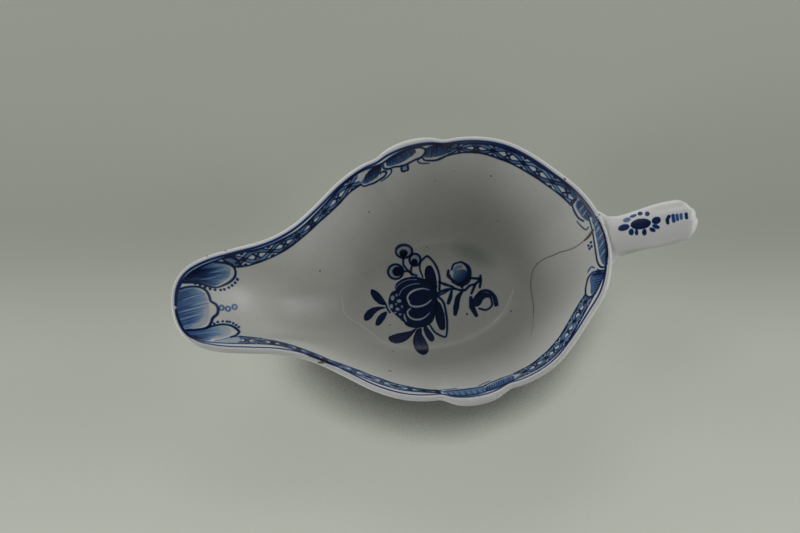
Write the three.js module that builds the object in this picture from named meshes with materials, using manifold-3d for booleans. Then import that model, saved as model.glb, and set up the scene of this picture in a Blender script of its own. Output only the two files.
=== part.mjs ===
// Press-moulded porcelain sauceboat with a long pouring spout, a lobed rim and a strap handle.
// Millimetres. X runs from the spout to the handle, Z is up, and the foot stands on z = 0.
import * as THREE from 'three';
import Module from 'manifold-3d';

const wasm = await Module();
wasm.setup();

// Half of the rim as seen from above, from the middle of the back to the tip of the spout: x, half width.
const RIM_HALF = [
  [67.6, 0], [66, 10.8], [61.5, 21.3], [54.5, 29.9], [46, 39.2], [37, 46.6], [26, 51], [14, 52.6],
  [2, 52.6], [-10, 51.2], [-21, 48.8], [-32, 43.3], [-43, 35], [-53, 28], [-64, 23.5], [-77, 21.2],
  [-88, 19], [-95.5, 15.3], [-100.3, 9], [-101.9, 0],
];
const BACK_LEAN = 1.5;
const BACK_LEAN_FROM_X = 48;

// The rim is level round the bowl and climbs along the spout.
const RIM_Z = 47.8;
const SPOUT_RISE = 12.7;
const SPOUT_RISE_FROM_X = -35;
const SPOUT_TIP_X = -101.9;

// A broad lobe stands out on each side between two notches. The hand-cut mould sets the two sides apart.
const LOBE_FROM_X = { left: -15.5, right: -7.9 };
const LOBE_TO_X = { left: 12.3, right: 17.8 };
const LOBE_STAND_OUT = 3.2;
const LOBE_INSIDE_SHARE = 0.6;
const NOTCH_DIP = 0.6;
const NOTCH_REACH = 2.5;

// The lip is a rounded edge, thinner at the tip of the spout.
const LIP = 2.8;
const LIP_AT_TIP = 1.5;
const LIP_TILT = THREE.MathUtils.degToRad(30);
const LIP_STEPS = 5;

// Foot: an oval ring under the bowl.
const FOOT_X = -3.5;
const FOOT_LENGTH = 77;
const FOOT_WIDTH = 51;
const FOOT_HEIGHT = 6.5;
const FOOT_STATIONS = 66;
const GAP = 0.3;

// The foot ring in section: distance outside the oval under the bowl, and height. It flares to the table.
const FOOT_SECTION = [
  [-1, FOOT_HEIGHT - GAP], [-1.1, 4.6], [-0.5, 2.4], [0.2, 1], [-0.1, 0.35], [-0.7, 0],
  [-3.4, 0], [-4, 0.5], [-4.5, 2.4], [-4.9, FOOT_HEIGHT - GAP],
];
// Its slip bead, before the foot and the wall are cut out of it, and the room that the foot takes.
const FOOT_BEAD = [[-2, 3.6], [-0.7, 3.9], [0, 5], [1.1, 6.7], [2.4, 8.3], [3.3, 9.2], [1, 9.9], [-2, 8.6]];
const FOOT_ROOM = [
  [-0.8, FOOT_HEIGHT + 1], [-0.8, 4.6], [-0.2, 2.4], [0.5, 1], [-5, 1], [-5, FOOT_HEIGHT + 1],
];

// Wall and floor of the bowl.
const WALL_AT_FOOT = 2.4;
const FLOOR_Z = 10.4;
const FLOOR_EDGE_RISE = 1.4;
const FLOOR_SHARES = [0.86, 0.6, 0.3];
const UNDERSIDE_SHARES = [0.45, 0.8];
const BELLY_BOW = 0.22;
const SPOUT_SWING = 0.42;
const SPOUT_BLEND_FROM_X = -42;
const SPOUT_BLEND_TO_X = -80;
const WALL_STEPS = 10;
const RIM_STEP = 3.7;

// Handle: a flat moulded strap above and a slim scroll that returns to the wall under it.
const STRAP_ROOT_X = 58;
const STRAP_END_X = 101.9;
const STRAP_END_CORNER = 5.4;
const STRAP_THICK = 4.8;
const STRAP_CROWN = 0.7;
const STRAP_SIDES = 40;
const STRAP_HALF_WIDTH = [
  [58, 12.5], [65.5, 11.4], [68.2, 8.8], [72, 7.4], [79, 7.7], [87, 8.4], [94, 8.2], [102, 7.4],
];
const STRAP_TOP = [[58, 46.8], [66, 47.3], [74, 48.4], [84, 50.1], [93, 51.6], [98, 51.9], [102, 51.2]];
const END_NOTCHES = [{ at: 0.58, depth: 0.9 }, { at: 0.04, depth: 0.65 }, { at: -0.5, depth: 0.3 }];
const END_NOTCH_WIDTH = 0.1;
const FLUTE_DEPTH = 0.45;
const STRAP_SHARES = [
  0, 0.12, 0.17, 0.21, 0.25, 0.3, 0.37, 0.45, 0.54, 0.63, 0.72, 0.8, 0.87, 0.92, 0.955, 0.98, 1,
];
const STRAP_NOSE = { 0.955: 0.92, 0.98: 0.76, 1: 0.36 };
const SCROLL_PATH = [
  [87, 48.3], [94, 47.5], [98.3, 43.6], [95.8, 38], [87.5, 33.4], [76, 30], [64, 27.2], [52, 24.2], [40, 21],
];
const SCROLL_HALF_WIDTH = 3.5;
const SCROLL_HALF_THICK = 2.6;
const SCROLL_SWELL = 1.1;
const SCROLL_START_SHARE = 0.55;
const SCROLL_STEPS = 28;
const SCROLL_SIDES = 18;

// Slip that joins the handle to the wall. Its reach is given as shares of the strap and of the scroll.
const SLIP_EDGE = 0.45;
const UPPER_SLIP = [
  [0, 3], [0.11, 3], [0.135, 2.1], [0.16, 1.4], [0.19, 0.95], [0.225, 0.65], [0.27, SLIP_EDGE],
];
const LOWER_SLIP = 3.4;
const LOWER_SLIP_REACH = [0.74, 0.92];

const smooth = THREE.MathUtils.smoothstep;
const lerp = THREE.MathUtils.lerp;

// Height or width at a place along a list of [place, value], on a smooth curve.
function along(list, place) {
  let i = 1;
  while (i < list.length - 1 && list[i][0] < place) i += 1;
  const before = list[Math.max(0, i - 2)];
  const a = list[i - 1];
  const b = list[i];
  const after = list[Math.min(list.length - 1, i + 1)];
  const t = THREE.MathUtils.clamp((place - a[0]) / (b[0] - a[0]), 0, 1);
  const span = b[0] - a[0];
  const slopeA = (b[1] - before[1]) / (b[0] - before[0]) * span;
  const slopeB = (after[1] - a[1]) / (after[0] - a[0]) * span;
  const t2 = t * t;
  const t3 = t2 * t;
  return (2 * t3 - 3 * t2 + 1) * a[1] + (t3 - 2 * t2 + t) * slopeA
    + (3 * t2 - 2 * t3) * b[1] + (t3 - t2) * slopeB;
}

// A closed skin over rings that have the same number of points, ended by a single point at each end.
// Without a last point, the upper and lower halves of the last ring are joined face to face.
function skin(rings, firstPole, lastPole) {
  const count = rings[0].length;
  const points = [firstPole, ...rings.flat()];
  const faces = [];
  for (let j = 0; j < count; j += 1) {
    const next = (j + 1) % count;
    faces.push([0, 1 + next, 1 + j]);
    for (let i = 0; i < rings.length - 1; i += 1) {
      const low = 1 + i * count;
      const high = low + count;
      faces.push([low + j, low + next, high + next], [low + j, high + next, high + j]);
    }
  }
  const end = points.length - count;
  if (lastPole) {
    points.push(lastPole);
    for (let j = 0; j < count; j += 1) {
      faces.push([points.length - 1, end + j, end + (j + 1) % count]);
    }
  } else {
    for (let j = 0; j < count / 2; j += 1) {
      const upper = [end + j, end + j + 1];
      const lower = [end + (count - j) % count, end + count - j - 1];
      if (j > 0) faces.push([upper[0], upper[1], lower[0]]);
      if (j < count / 2 - 1) faces.push([upper[1], lower[1], lower[0]]);
    }
  }
  return solid(points, faces);
}

// A closed skin over rings that lead back to the first one, as round a bead.
function loopSkin(rings) {
  const count = rings[0].length;
  const faces = [];
  for (let i = 0; i < rings.length; i += 1) {
    const low = i * count;
    const high = ((i + 1) % rings.length) * count;
    for (let j = 0; j < count; j += 1) {
      const next = (j + 1) % count;
      faces.push([low + j, low + next, high + next], [low + j, high + next, high + j]);
    }
  }
  return solid(rings.flat(), faces);
}

// A solid from points and triangles, turned inside out if its faces point inwards.
function solid(points, faces) {
  let volume = 0;
  for (const [a, b, c] of faces) {
    volume += points[a].dot(new THREE.Vector3().crossVectors(points[b], points[c]));
  }
  const order = volume > 0 ? faces.flat() : faces.map(([a, b, c]) => [a, c, b]).flat();
  const vertProperties = new Float32Array(points.flatMap((p) => [p.x, p.y, p.z]));
  return new wasm.Manifold(new wasm.Mesh({ numProp: 3, vertProperties, triVerts: new Uint32Array(order) }));
}

// The rim's plan: a closed curve with both halves of the outline, leaning a little at the back.
function rimPlan() {
  const left = RIM_HALF.map(([x, y]) => [x, y]);
  const right = RIM_HALF.slice(1, -1).reverse().map(([x, y]) => [x, -y]);
  const points = [...left, ...right].map(([x, y]) => {
    const lean = BACK_LEAN * smooth(x, BACK_LEAN_FROM_X, RIM_HALF[0][0]);
    return new THREE.Vector3(x, y - lean, 0);
  });
  const curve = new THREE.CatmullRomCurve3(points, true, 'centripetal');
  curve.arcLengthDivisions = 1200;
  return curve;
}

// Where along the rim, as a share of its length, the outline reaches x on one side.
function shareAtX(curve, x, side) {
  const tip = shareOfTip(curve);
  let [low, high] = side === 'left' ? [0, tip] : [tip, 1];
  for (let i = 0; i < 40; i += 1) {
    const middle = (low + high) / 2;
    const beyond = curve.getPointAt(middle).x < x;
    if (beyond === (side === 'left')) high = middle;
    else low = middle;
  }
  return (low + high) / 2;
}

function shareOfTip(curve) {
  const tipIndex = RIM_HALF.length - 1;
  const lengths = curve.getLengths();
  const place = tipIndex / (2 * tipIndex) * (lengths.length - 1);
  return lengths[Math.round(place)] / lengths[lengths.length - 1];
}

// Stations round the rim, with one exactly on each notch.
function rimStations() {
  const curve = rimPlan();
  const length = curve.getLength();
  const lobes = ['left', 'right'].map((side) => {
    const ends = [shareAtX(curve, LOBE_FROM_X[side], side), shareAtX(curve, LOBE_TO_X[side], side)];
    return { from: Math.min(...ends), to: Math.max(...ends) };
  });
  const marks = [0, ...lobes.flatMap((lobe) => [lobe.from, lobe.to]), 1];
  const stations = [];
  for (let i = 0; i < marks.length - 1; i += 1) {
    const steps = Math.round((marks[i + 1] - marks[i]) * length / RIM_STEP);
    for (let k = 0; k < steps; k += 1) {
      stations.push(station(curve, lerp(marks[i], marks[i + 1], k / steps), length, lobes));
    }
  }
  return stations;
}

// One station: the outermost point of the lip, the direction out of the bowl, and the lip's own sizes there.
function station(curve, share, length, lobes) {
  const point = curve.getPointAt(share);
  const tangent = curve.getTangentAt(share);
  const out = new THREE.Vector3(tangent.y, -tangent.x, 0).normalize();
  let bulge = 0;
  for (const { from, to } of lobes) {
    const across = (share - from) / (to - from);
    if (across > 0 && across < 1) bulge += LOBE_STAND_OUT * Math.sin(Math.PI * across) ** 0.7;
    for (const notch of [from, to]) {
      bulge -= NOTCH_DIP * Math.exp(-(((share - notch) * length / NOTCH_REACH) ** 2));
    }
  }
  const toTip = smooth(-point.x, 88, -SPOUT_TIP_X);
  return {
    point,
    out,
    bulge,
    lip: lerp(LIP, LIP_AT_TIP, toTip),
    top: RIM_Z + SPOUT_RISE * smooth(-point.x, -SPOUT_RISE_FROM_X, -SPOUT_TIP_X),
    spout: smooth(-point.x, -SPOUT_BLEND_FROM_X, -SPOUT_BLEND_TO_X),
  };
}

// Middle of the rounded lip. The bulge of the lobes is added to it where it is wanted.
function lipCentre({ point, out, lip, top }, bulge) {
  return point.clone().addScaledVector(out, bulge - lip / 2).setZ(top - lip / 2);
}

// A point of the rounded lip, from its outer edge (turn 0) over the top to its inner edge (turn 1).
function lipPoint(at, turn, bulge, grow = 0) {
  const angle = turn * Math.PI - LIP_TILT;
  const radius = at.lip / 2 + grow;
  const centre = lipCentre(at, bulge);
  return centre.addScaledVector(at.out, radius * Math.cos(angle)).setZ(centre.z + radius * Math.sin(angle));
}

// Point of an oval round the foot's middle, in the direction of another point.
function ovalPoint(halfLength, halfWidth, towards, z) {
  const angle = Math.atan2(towards.y, towards.x - FOOT_X);
  const across = Math.hypot(halfWidth * Math.cos(angle), halfLength * Math.sin(angle));
  const radius = halfLength * halfWidth / across;
  return new THREE.Vector3(FOOT_X + radius * Math.cos(angle), radius * Math.sin(angle), z);
}

// How far a wall has run out from the foot to the lip at a share of its height.
// The bowl bellies out; the spout swings out, rises, and swings out again to its lip.
function wallRun(height, spout) {
  const belly = height + BELLY_BOW * height * (1 - height);
  const swing = height + SPOUT_SWING * Math.sin(2 * Math.PI * height) / (2 * Math.PI);
  return lerp(belly, swing, spout);
}

// A point of the wall between an oval at its foot and its edge at the lip.
function wallPoint(at, foot, edge, height, bulge) {
  const run = wallRun(height, at.spout);
  const point = foot.clone().lerp(edge, run).setZ(lerp(foot.z, edge.z, height));
  return point.addScaledVector(at.out, bulge * height ** 2);
}

// The outside of the bowl, ring by ring from the foot to the lip. It can be grown to clear its neighbours.
function outsideRings(stations, grow = 0) {
  const rings = [];
  for (let i = 0; i <= WALL_STEPS; i += 1) {
    const height = i / WALL_STEPS;
    rings.push(stations.map((at) => {
      const edge = lipPoint(at, 0, 0, grow);
      const foot = ovalPoint(FOOT_LENGTH / 2 + grow, FOOT_WIDTH / 2 + grow, edge, FOOT_HEIGHT - grow);
      return wallPoint(at, foot, edge, height, at.bulge);
    }));
  }
  return rings;
}

function insideRings(stations) {
  const rings = [];
  for (let i = WALL_STEPS; i >= 0; i -= 1) {
    const height = i / WALL_STEPS;
    rings.push(stations.map((at) => {
      const edge = lipPoint(at, 1, 0);
      const floorEdge = FLOOR_Z + FLOOR_EDGE_RISE;
      const foot = ovalPoint(FOOT_LENGTH / 2 - WALL_AT_FOOT, FOOT_WIDTH / 2 - WALL_AT_FOOT, edge, floorEdge);
      return wallPoint(at, foot, edge, height, at.bulge * LOBE_INSIDE_SHARE);
    }));
  }
  return rings;
}

// The lip narrows from the full bulge outside to the smaller one inside.
function lipRings(stations) {
  const rings = [];
  for (let i = 1; i < LIP_STEPS; i += 1) {
    const turn = i / LIP_STEPS;
    rings.push(stations.map((at) => lipPoint(at, turn, at.bulge * lerp(1, LOBE_INSIDE_SHARE, turn))));
  }
  return rings;
}

// The floor dips gently from its edge to the middle.
function floorRings(stations) {
  return FLOOR_SHARES.map((share) => stations.map((at) => {
    const z = FLOOR_Z + FLOOR_EDGE_RISE * share ** 6;
    const halfLength = share * (FOOT_LENGTH / 2 - WALL_AT_FOOT);
    const halfWidth = share * (FOOT_WIDTH / 2 - WALL_AT_FOOT);
    return ovalPoint(halfLength, halfWidth, at.point, z);
  }));
}

// The flat underside within the foot.
function underRings(stations) {
  return UNDERSIDE_SHARES.map((share) => stations.map((at) => (
    ovalPoint(share * FOOT_LENGTH / 2, share * FOOT_WIDTH / 2, at.point, FOOT_HEIGHT)
  )));
}

function bowl(stations) {
  const rings = [
    ...underRings(stations),
    ...outsideRings(stations),
    ...lipRings(stations),
    ...insideRings(stations),
    ...floorRings(stations),
  ];
  return skin(rings, new THREE.Vector3(FOOT_X, 0, FOOT_HEIGHT), new THREE.Vector3(FOOT_X, 0, FLOOR_Z));
}

// The bowl as a full block, grown by the gap. What is joined to the bowl is cut by it.
function bowlClearance(stations) {
  const rings = outsideRings(stations, GAP);
  for (const turn of [1 / LIP_STEPS, 2 / LIP_STEPS]) {
    rings.push(stations.map((at) => lipPoint(at, turn, at.bulge, GAP)));
  }
  const low = new THREE.Vector3(FOOT_X, 0, FOOT_HEIGHT - GAP);
  return skin(rings, low, new THREE.Vector3(FOOT_X, 0, RIM_Z));
}

// A bead of any section that runs round the oval of the foot.
function ovalBead(section) {
  return loopSkin(section.map(([out, z]) => {
    const ring = [];
    for (let i = 0; i < FOOT_STATIONS; i += 1) {
      const angle = 2 * Math.PI * i / FOOT_STATIONS;
      const x = (FOOT_LENGTH / 2 + out) * Math.cos(angle);
      ring.push(new THREE.Vector3(FOOT_X + x, (FOOT_WIDTH / 2 + out) * Math.sin(angle), z));
    }
    return ring;
  }));
}

function footRing() {
  return ovalBead(FOOT_SECTION);
}

// A bead of slip that fills the corner between the foot ring and the wall above it.
function footLuting(clearance) {
  return ovalBead(FOOT_BEAD).subtract(ovalBead(FOOT_ROOM)).subtract(clearance);
}

// Sum of the soft grooves that lead to the notches of the handle's end.
function endNotch(across) {
  return END_NOTCHES.reduce((sum, { at, depth }) => (
    sum + depth * Math.exp(-(((across - at) / END_NOTCH_WIDTH) ** 2))
  ), 0);
}

// One section of the strap: a flat oval with a crowned top. It can be grown below and at its sides.
function strapSection(share, thickness, grow) {
  const ring = [];
  for (let i = 0; i < STRAP_SIDES; i += 1) {
    const angle = 2 * Math.PI * i / STRAP_SIDES;
    const across = Math.sign(Math.cos(angle)) * Math.abs(Math.cos(angle)) ** 0.8;
    const up = Math.sign(Math.sin(angle)) * Math.abs(Math.sin(angle)) ** 0.6;
    const endX = STRAP_END_X - STRAP_END_CORNER * Math.abs(across) ** 2.6 - endNotch(across);
    const x = lerp(STRAP_ROOT_X, endX, share);
    const growHere = grow * (0.5 - 0.5 * up);
    const y = across * (along(STRAP_HALF_WIDTH, x) + growHere);
    const crown = STRAP_CROWN * (1 - across ** 2) * Math.max(0, up);
    const flute = FLUTE_DEPTH * endNotch(across) * smooth(share, 0.45, 0.95) * Math.max(0, up);
    const middle = along(STRAP_TOP, x) - STRAP_CROWN - STRAP_THICK / 2;
    const z = middle + up * (thickness * STRAP_THICK / 2 + growHere) + (crown - flute) * thickness;
    ring.push(new THREE.Vector3(x, y, z));
  }
  return ring;
}

function strap() {
  const rings = STRAP_SHARES.map((share) => strapSection(share, STRAP_NOSE[share] ?? 1, 0));
  return skin(rings, middleOf(rings[0]));
}

function middleOf(ring) {
  return ring.reduce((sum, p) => sum.add(p), new THREE.Vector3()).divideScalar(ring.length);
}

// The scroll under the strap, or a stretch of it: an oval section along a path in the boat's middle plane.
function scroll(from, to, steps, grow) {
  const path = new THREE.CatmullRomCurve3(SCROLL_PATH.map(([x, z]) => new THREE.Vector3(x, 0, z)));
  const across = new THREE.Vector3(0, 1, 0);
  const rings = [];
  for (let i = 0; i <= steps; i += 1) {
    const share = lerp(from, to, i / steps);
    const centre = path.getPointAt(share);
    const up = new THREE.Vector3().crossVectors(path.getTangentAt(share), across);
    const swell = SCROLL_SWELL * smooth(share, 0.7, 1);
    const start = lerp(SCROLL_START_SHARE, 1, smooth(share, 0, 0.12));
    const ring = [];
    for (let k = 0; k < SCROLL_SIDES; k += 1) {
      const angle = 2 * Math.PI * k / SCROLL_SIDES;
      const sideways = (SCROLL_HALF_WIDTH * start + swell + grow(share)) * Math.cos(angle);
      const upwards = (SCROLL_HALF_THICK * start + swell / 2 + grow(share)) * Math.sin(angle);
      ring.push(centre.clone().addScaledVector(across, sideways).addScaledVector(up, upwards));
    }
    rings.push(ring);
  }
  return skin(rings, path.getPointAt(from), path.getPointAt(to));
}

function handle(clearance) {
  return strap().add(scroll(0, 1, SCROLL_STEPS, () => 0)).subtract(clearance);
}

// Slip under and beside the strap's root. It thins away from the wall.
function upperLuting(clearance) {
  const collar = UPPER_SLIP.map(([share, size]) => strapSection(share, 1, size));
  const core = [...UPPER_SLIP, [0.4]].map(([share]) => strapSection(share, 1.1, GAP));
  const outer = skin(collar, middleOf(collar[0]), middleOf(collar[collar.length - 1]));
  const inner = skin(core, middleOf(core[0]), middleOf(core[core.length - 1]));
  return outer.subtract(inner).subtract(clearance);
}

// Slip round the lower end of the scroll. It thins away from the wall.
function lowerLuting(clearance) {
  const collar = scroll(...LOWER_SLIP_REACH, 8, (share) => (
    lerp(SLIP_EDGE, LOWER_SLIP, smooth(share, ...LOWER_SLIP_REACH) ** 1.5)
  ));
  const core = scroll(LOWER_SLIP_REACH[0] - 0.1, 1, 8, () => GAP);
  return collar.subtract(core).subtract(clearance);
}

function addPiece(group, name, body, material) {
  const mesh = body.getMesh();
  const geometry = new THREE.BufferGeometry();
  geometry.setAttribute('position', new THREE.BufferAttribute(mesh.vertProperties.slice(), 3));
  geometry.setIndex(new THREE.BufferAttribute(mesh.triVerts.slice(), 1));
  geometry.computeVertexNormals();
  const piece = new THREE.Mesh(geometry, material);
  piece.name = name;
  group.add(piece);
}

function glazedPorcelain() {
  return new THREE.MeshStandardMaterial({ color: 0xdcdcd6, roughness: 0.18, metalness: 0 });
}

function buildSauceboat() {
  const group = new THREE.Group();
  const stations = rimStations();
  const clearance = bowlClearance(stations);
  addPiece(group, 'body', bowl(stations), glazedPorcelain());
  addPiece(group, 'foot_ring', footRing(), glazedPorcelain());
  addPiece(group, 'foot_luting', footLuting(clearance), glazedPorcelain());
  addPiece(group, 'handle', handle(clearance), glazedPorcelain());
  addPiece(group, 'handle_upper_luting', upperLuting(clearance), glazedPorcelain());
  addPiece(group, 'handle_lower_luting', lowerLuting(clearance), glazedPorcelain());
  return group;
}

const sauceboat = buildSauceboat();

export default sauceboat;
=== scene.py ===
import math

import bpy
import numpy as np
from mathutils import Matrix, Vector
from mathutils.bvhtree import BVHTree
from mathutils.kdtree import KDTree


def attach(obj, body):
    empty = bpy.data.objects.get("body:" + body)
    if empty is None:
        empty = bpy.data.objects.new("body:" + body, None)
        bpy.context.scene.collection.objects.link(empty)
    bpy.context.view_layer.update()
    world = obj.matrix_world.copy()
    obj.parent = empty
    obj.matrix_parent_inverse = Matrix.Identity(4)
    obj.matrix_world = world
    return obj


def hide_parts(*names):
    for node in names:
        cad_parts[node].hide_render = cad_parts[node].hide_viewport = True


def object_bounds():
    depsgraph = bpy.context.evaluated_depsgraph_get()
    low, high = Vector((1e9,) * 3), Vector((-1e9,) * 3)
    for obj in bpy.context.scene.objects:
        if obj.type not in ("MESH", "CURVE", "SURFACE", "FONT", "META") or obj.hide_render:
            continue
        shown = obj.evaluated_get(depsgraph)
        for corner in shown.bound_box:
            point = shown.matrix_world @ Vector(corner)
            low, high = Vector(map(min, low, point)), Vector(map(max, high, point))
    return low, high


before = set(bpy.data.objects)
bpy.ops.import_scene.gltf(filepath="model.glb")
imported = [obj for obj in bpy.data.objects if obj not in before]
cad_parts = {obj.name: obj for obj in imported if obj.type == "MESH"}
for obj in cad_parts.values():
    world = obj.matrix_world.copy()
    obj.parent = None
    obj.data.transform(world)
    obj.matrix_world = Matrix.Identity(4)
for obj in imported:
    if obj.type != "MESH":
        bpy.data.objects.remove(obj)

solid_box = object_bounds()
MM = 0.001

# The photograph's view, in metres: the boat seen almost from above, turned a little in the frame.
VIEW_TARGET = Vector((-0.014, 0.0, 0.0586))
VIEW_DISTANCE = 0.591
VIEW_ELEVATION = math.radians(72)
VIEW_ROLL = math.radians(-11)
VIEW_LENS = 70.2
SENSOR = 36.0
IMAGE_WIDTH = 800
IMAGE_HEIGHT = 533

# Half of the rim in plan, in millimetres, from the middle of the back to the tip of the spout.
RIM_PLAN = [
    (67.6, 0), (66, 10.8), (61.5, 21.3), (54.5, 29.9), (46, 39.2), (37, 46.6), (26, 51), (14, 52.6),
    (2, 52.6), (-10, 51.2), (-21, 48.8), (-32, 43.3), (-43, 35), (-53, 28), (-64, 23.5), (-77, 21.2),
    (-88, 19), (-95.5, 15.3), (-100.3, 9), (-101.9, 0),
]

# How far the lip's inner edge lies below its crest, in millimetres.
LIP_DROP = 0.7

# Painted glaze, in millimetres: how far it stands proud of the ware, and how deep its underside lies.
GLAZE_PROUD = 0.025
GLAZE_DEPTH = 0.35

# The glaze over handle and foot, in millimetres: how thick it is, and how finely each one's skin is remeshed.
GLAZE_SWELL = 0.17
HANDLE_VOXEL = 0.35
FOOT_VOXEL = 0.4

# Slip that joins two members, in millimetres: how near its edge lies to the bowl, over what stretch it runs
# in, how deep, and the height at which it ends round the foot.
LUTING_REACH = 0.5
LUTING_BLEND = 0.7
LUTING_SINK = 0.9
LUTING_TOP = 6.5

# The rim's chart, in millimetres along the rim and down from the lip's inner edge.
COLUMN_STEP = 0.31
ROW_STEP = 0.24
CHART_TOP = -1.4
CHART_DEPTH = 10.4

# How a column of the chart is read across the lip, in millimetres, and within how many steps it meets the
# crest.
SCAN_FROM = -1.5
SCAN_TO = 13.0
SCAN_STEP = 0.25
CREST_WITHIN = 16

# How a place is found on the chart: among every so many columns and rows, then among all that lie near the
# best of them, which has to be nearer than this, in millimetres.
COARSE = (8, 6)
AROUND = (10, 8)
FARTHEST = 3

# The sheets of painted glaze in plan, in millimetres: their step, their bare margin in cells, and how far
# the spout's sheet reaches.
SHEET_STEP = 0.22
SHEET_MARGIN = 4
SPOUT_FROM = 179.5
SPOUT_LAP = 0.5
SPOUT_END = -72.5
SPOUT_TIP = -101.4
SPOUT_HALF = 22
SPOUT_WALL = 6

# Off every chart, in millimetres.
NOWHERE = 1e5

# Brush marks, in millimetres: the step along a stroke and round a wash, and how soft the edge of each one is.
STROKE_STEP = 0.14
WASH_STEP = 0.3
STROKE_SOFT = 0.16
WASH_SOFT = 0.18

# How much more cobalt pools along a wash's edge, and how far in, in millimetres.
WASH_POOL = 0.25
POOL_REACH = 0.35

# Cobalt runs from 0 for bare glaze to its darkest. Less than the faintest isn't drawn.
DARKEST = 3
FAINTEST = 0.02

# The glaze is drawn white over the lip, as painted highlight and thinner glaze, from here to here down inside
# it, and over all that lies so far under it, in millimetres.
WHITE_FROM = -0.6
WHITE_TO = 1.4
UNDER_LIP = 0.3

# Soft boxes, in metres: how far off they stand, what they face, and their size.
LAMP_DISTANCE = 1.2
LAMP_AIM = Vector((0, 0, 0.04))
LAMP_WIDTH = 0.8
LAMP_HEIGHT = 0.42

# Which side each one stands on and how high, in degrees, and its power in watts.
LAMPS = (
    ("far_low", 90, 9, 4.6), ("far_high", 90, 45, 2.2), ("right_low", 0, 9, 3.8),
    ("right_middle", 0, 24, 2.6), ("left_low", 180, 9, 7.4), ("near_low", 270, 9, 1.1),
    ("near_high", 270, 45, 1.1),
)

# The world's strength as light on the boat, and as the backdrop that the camera sees.
WORLD_FILL = 0.02
WORLD_SHOWN = 0.62

# A height over all the ware, in metres, to look down on it from.
ABOVE_ALL = 0.2

# Where every touch of chance comes from, the same on each run.
rng = np.random.default_rng(7)


def view_axes():
    """The picture's right and up and the way back to the camera."""
    back = Vector((0, -math.cos(VIEW_ELEVATION), math.sin(VIEW_ELEVATION)))
    right = Vector((1, 0, 0))
    up = back.cross(right)
    turned_right = math.cos(VIEW_ROLL) * right + math.sin(VIEW_ROLL) * up
    turned_up = math.cos(VIEW_ROLL) * up - math.sin(VIEW_ROLL) * right
    return turned_right, turned_up, back


def view_ray(px, py):
    """The start and direction of the line of sight through a pixel of the photograph."""
    right, up, back = view_axes()
    focal = VIEW_LENS / SENSOR * IMAGE_WIDTH
    way = right * ((px - IMAGE_WIDTH / 2) / focal) - up * ((py - IMAGE_HEIGHT / 2) / focal) - back
    return VIEW_TARGET + back * VIEW_DISTANCE, way.normalized()


def deselect_all():
    if bpy.context.object and bpy.context.object.mode != "OBJECT":
        bpy.ops.object.mode_set(mode="OBJECT")
    bpy.ops.object.select_all(action="DESELECT")


def take(piece):
    """Makes one piece the only one that is selected."""
    deselect_all()
    piece.select_set(True)
    bpy.context.view_layer.objects.active = piece


def copy_of(nodes, name):
    """The CAD nodes copied into one mesh, with their loose triangles merged."""
    deselect_all()
    for node in nodes:
        piece = bpy.data.objects.new(name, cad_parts[node].data.copy())
        bpy.context.collection.objects.link(piece)
        piece.select_set(True)
    bpy.context.view_layer.objects.active = piece
    if len(nodes) > 1:
        bpy.ops.object.join()
    piece = bpy.context.view_layer.objects.active
    piece.name = name
    piece.data.materials.clear()
    bpy.ops.object.mode_set(mode="EDIT")
    bpy.ops.mesh.select_all(action="SELECT")
    bpy.ops.mesh.remove_doubles(threshold=1e-6)
    bpy.ops.object.mode_set(mode="OBJECT")
    return piece


def apply(piece, kind, **settings):
    """Adds one modifier with its settings and applies it."""
    take(piece)
    modifier = piece.modifiers.new(kind.title(), kind)
    for key, value in settings.items():
        setattr(modifier, key, value)
    bpy.ops.object.modifier_apply(modifier=modifier.name)


# The ware

class Surface:
    """A piece's skin, to find points and smooth normals on it."""

    def __init__(self, piece):
        mesh = piece.data
        mesh.calc_loop_triangles()
        self.points = np.array([v.co for v in mesh.vertices])
        self.normals = np.array([v.normal for v in mesh.vertices])
        self.triangles = np.array([t.vertices for t in mesh.loop_triangles])
        self.tree = BVHTree.FromPolygons(self.points.tolist(), self.triangles.tolist())

    def cast(self, start, way):
        """The first point that a line meets, and the normal there, smoothed over the triangle."""
        place, _, index, _ = self.tree.ray_cast(start, way)
        if place is None:
            return None, None
        a, b, c = self.points[self.triangles[index]]
        na, nb, nc = self.normals[self.triangles[index]]
        p = np.array(place)
        whole = np.linalg.norm(np.cross(b - a, c - a))
        wa = np.linalg.norm(np.cross(b - p, c - p)) / whole
        wb = np.linalg.norm(np.cross(a - p, c - p)) / whole
        normal = wa * na + wb * nb + (1 - wa - wb) * nc
        return p, normal / np.linalg.norm(normal)

    def drop(self, x, y):
        """The point straight under (x, y), given in millimetres."""
        return self.cast(Vector((x * MM, y * MM, ABOVE_ALL)), Vector((0, 0, -1)))

    def seen(self, px, py):
        """The point that a pixel of the photograph shows, in millimetres."""
        place, _ = self.cast(*view_ray(px, py))
        return None if place is None else place / MM


def make_bowl():
    """The glazed bowl: the moulded wall, lip and floor, rounded off by a subdivision surface."""
    bowl = copy_of(["body"], "glazed_bowl")
    bpy.ops.object.mode_set(mode="EDIT")
    bpy.ops.mesh.select_all(action="SELECT")
    square = math.radians(40)
    bpy.ops.mesh.tris_convert_to_quads(face_threshold=square, shape_threshold=square)
    bpy.ops.object.mode_set(mode="OBJECT")
    apply(bowl, "SUBSURF", levels=2, render_levels=2)
    bpy.ops.object.shade_smooth()
    return bowl


def close_on(piece, surface, above):
    """Draws what nearly touches a surface, and all above a height in millimetres, down into that surface."""
    for vertex in piece.data.vertices:
        near, normal, _, gap = surface.tree.find_nearest(vertex.co)
        closeness = 1 - (gap / MM - LUTING_REACH) / LUTING_BLEND
        height = (vertex.co.z / MM - above) / LUTING_BLEND
        share = min(max(closeness, height, 0.0), 1.0)
        vertex.co = vertex.co.lerp(near - normal * LUTING_SINK * MM, share)


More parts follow.
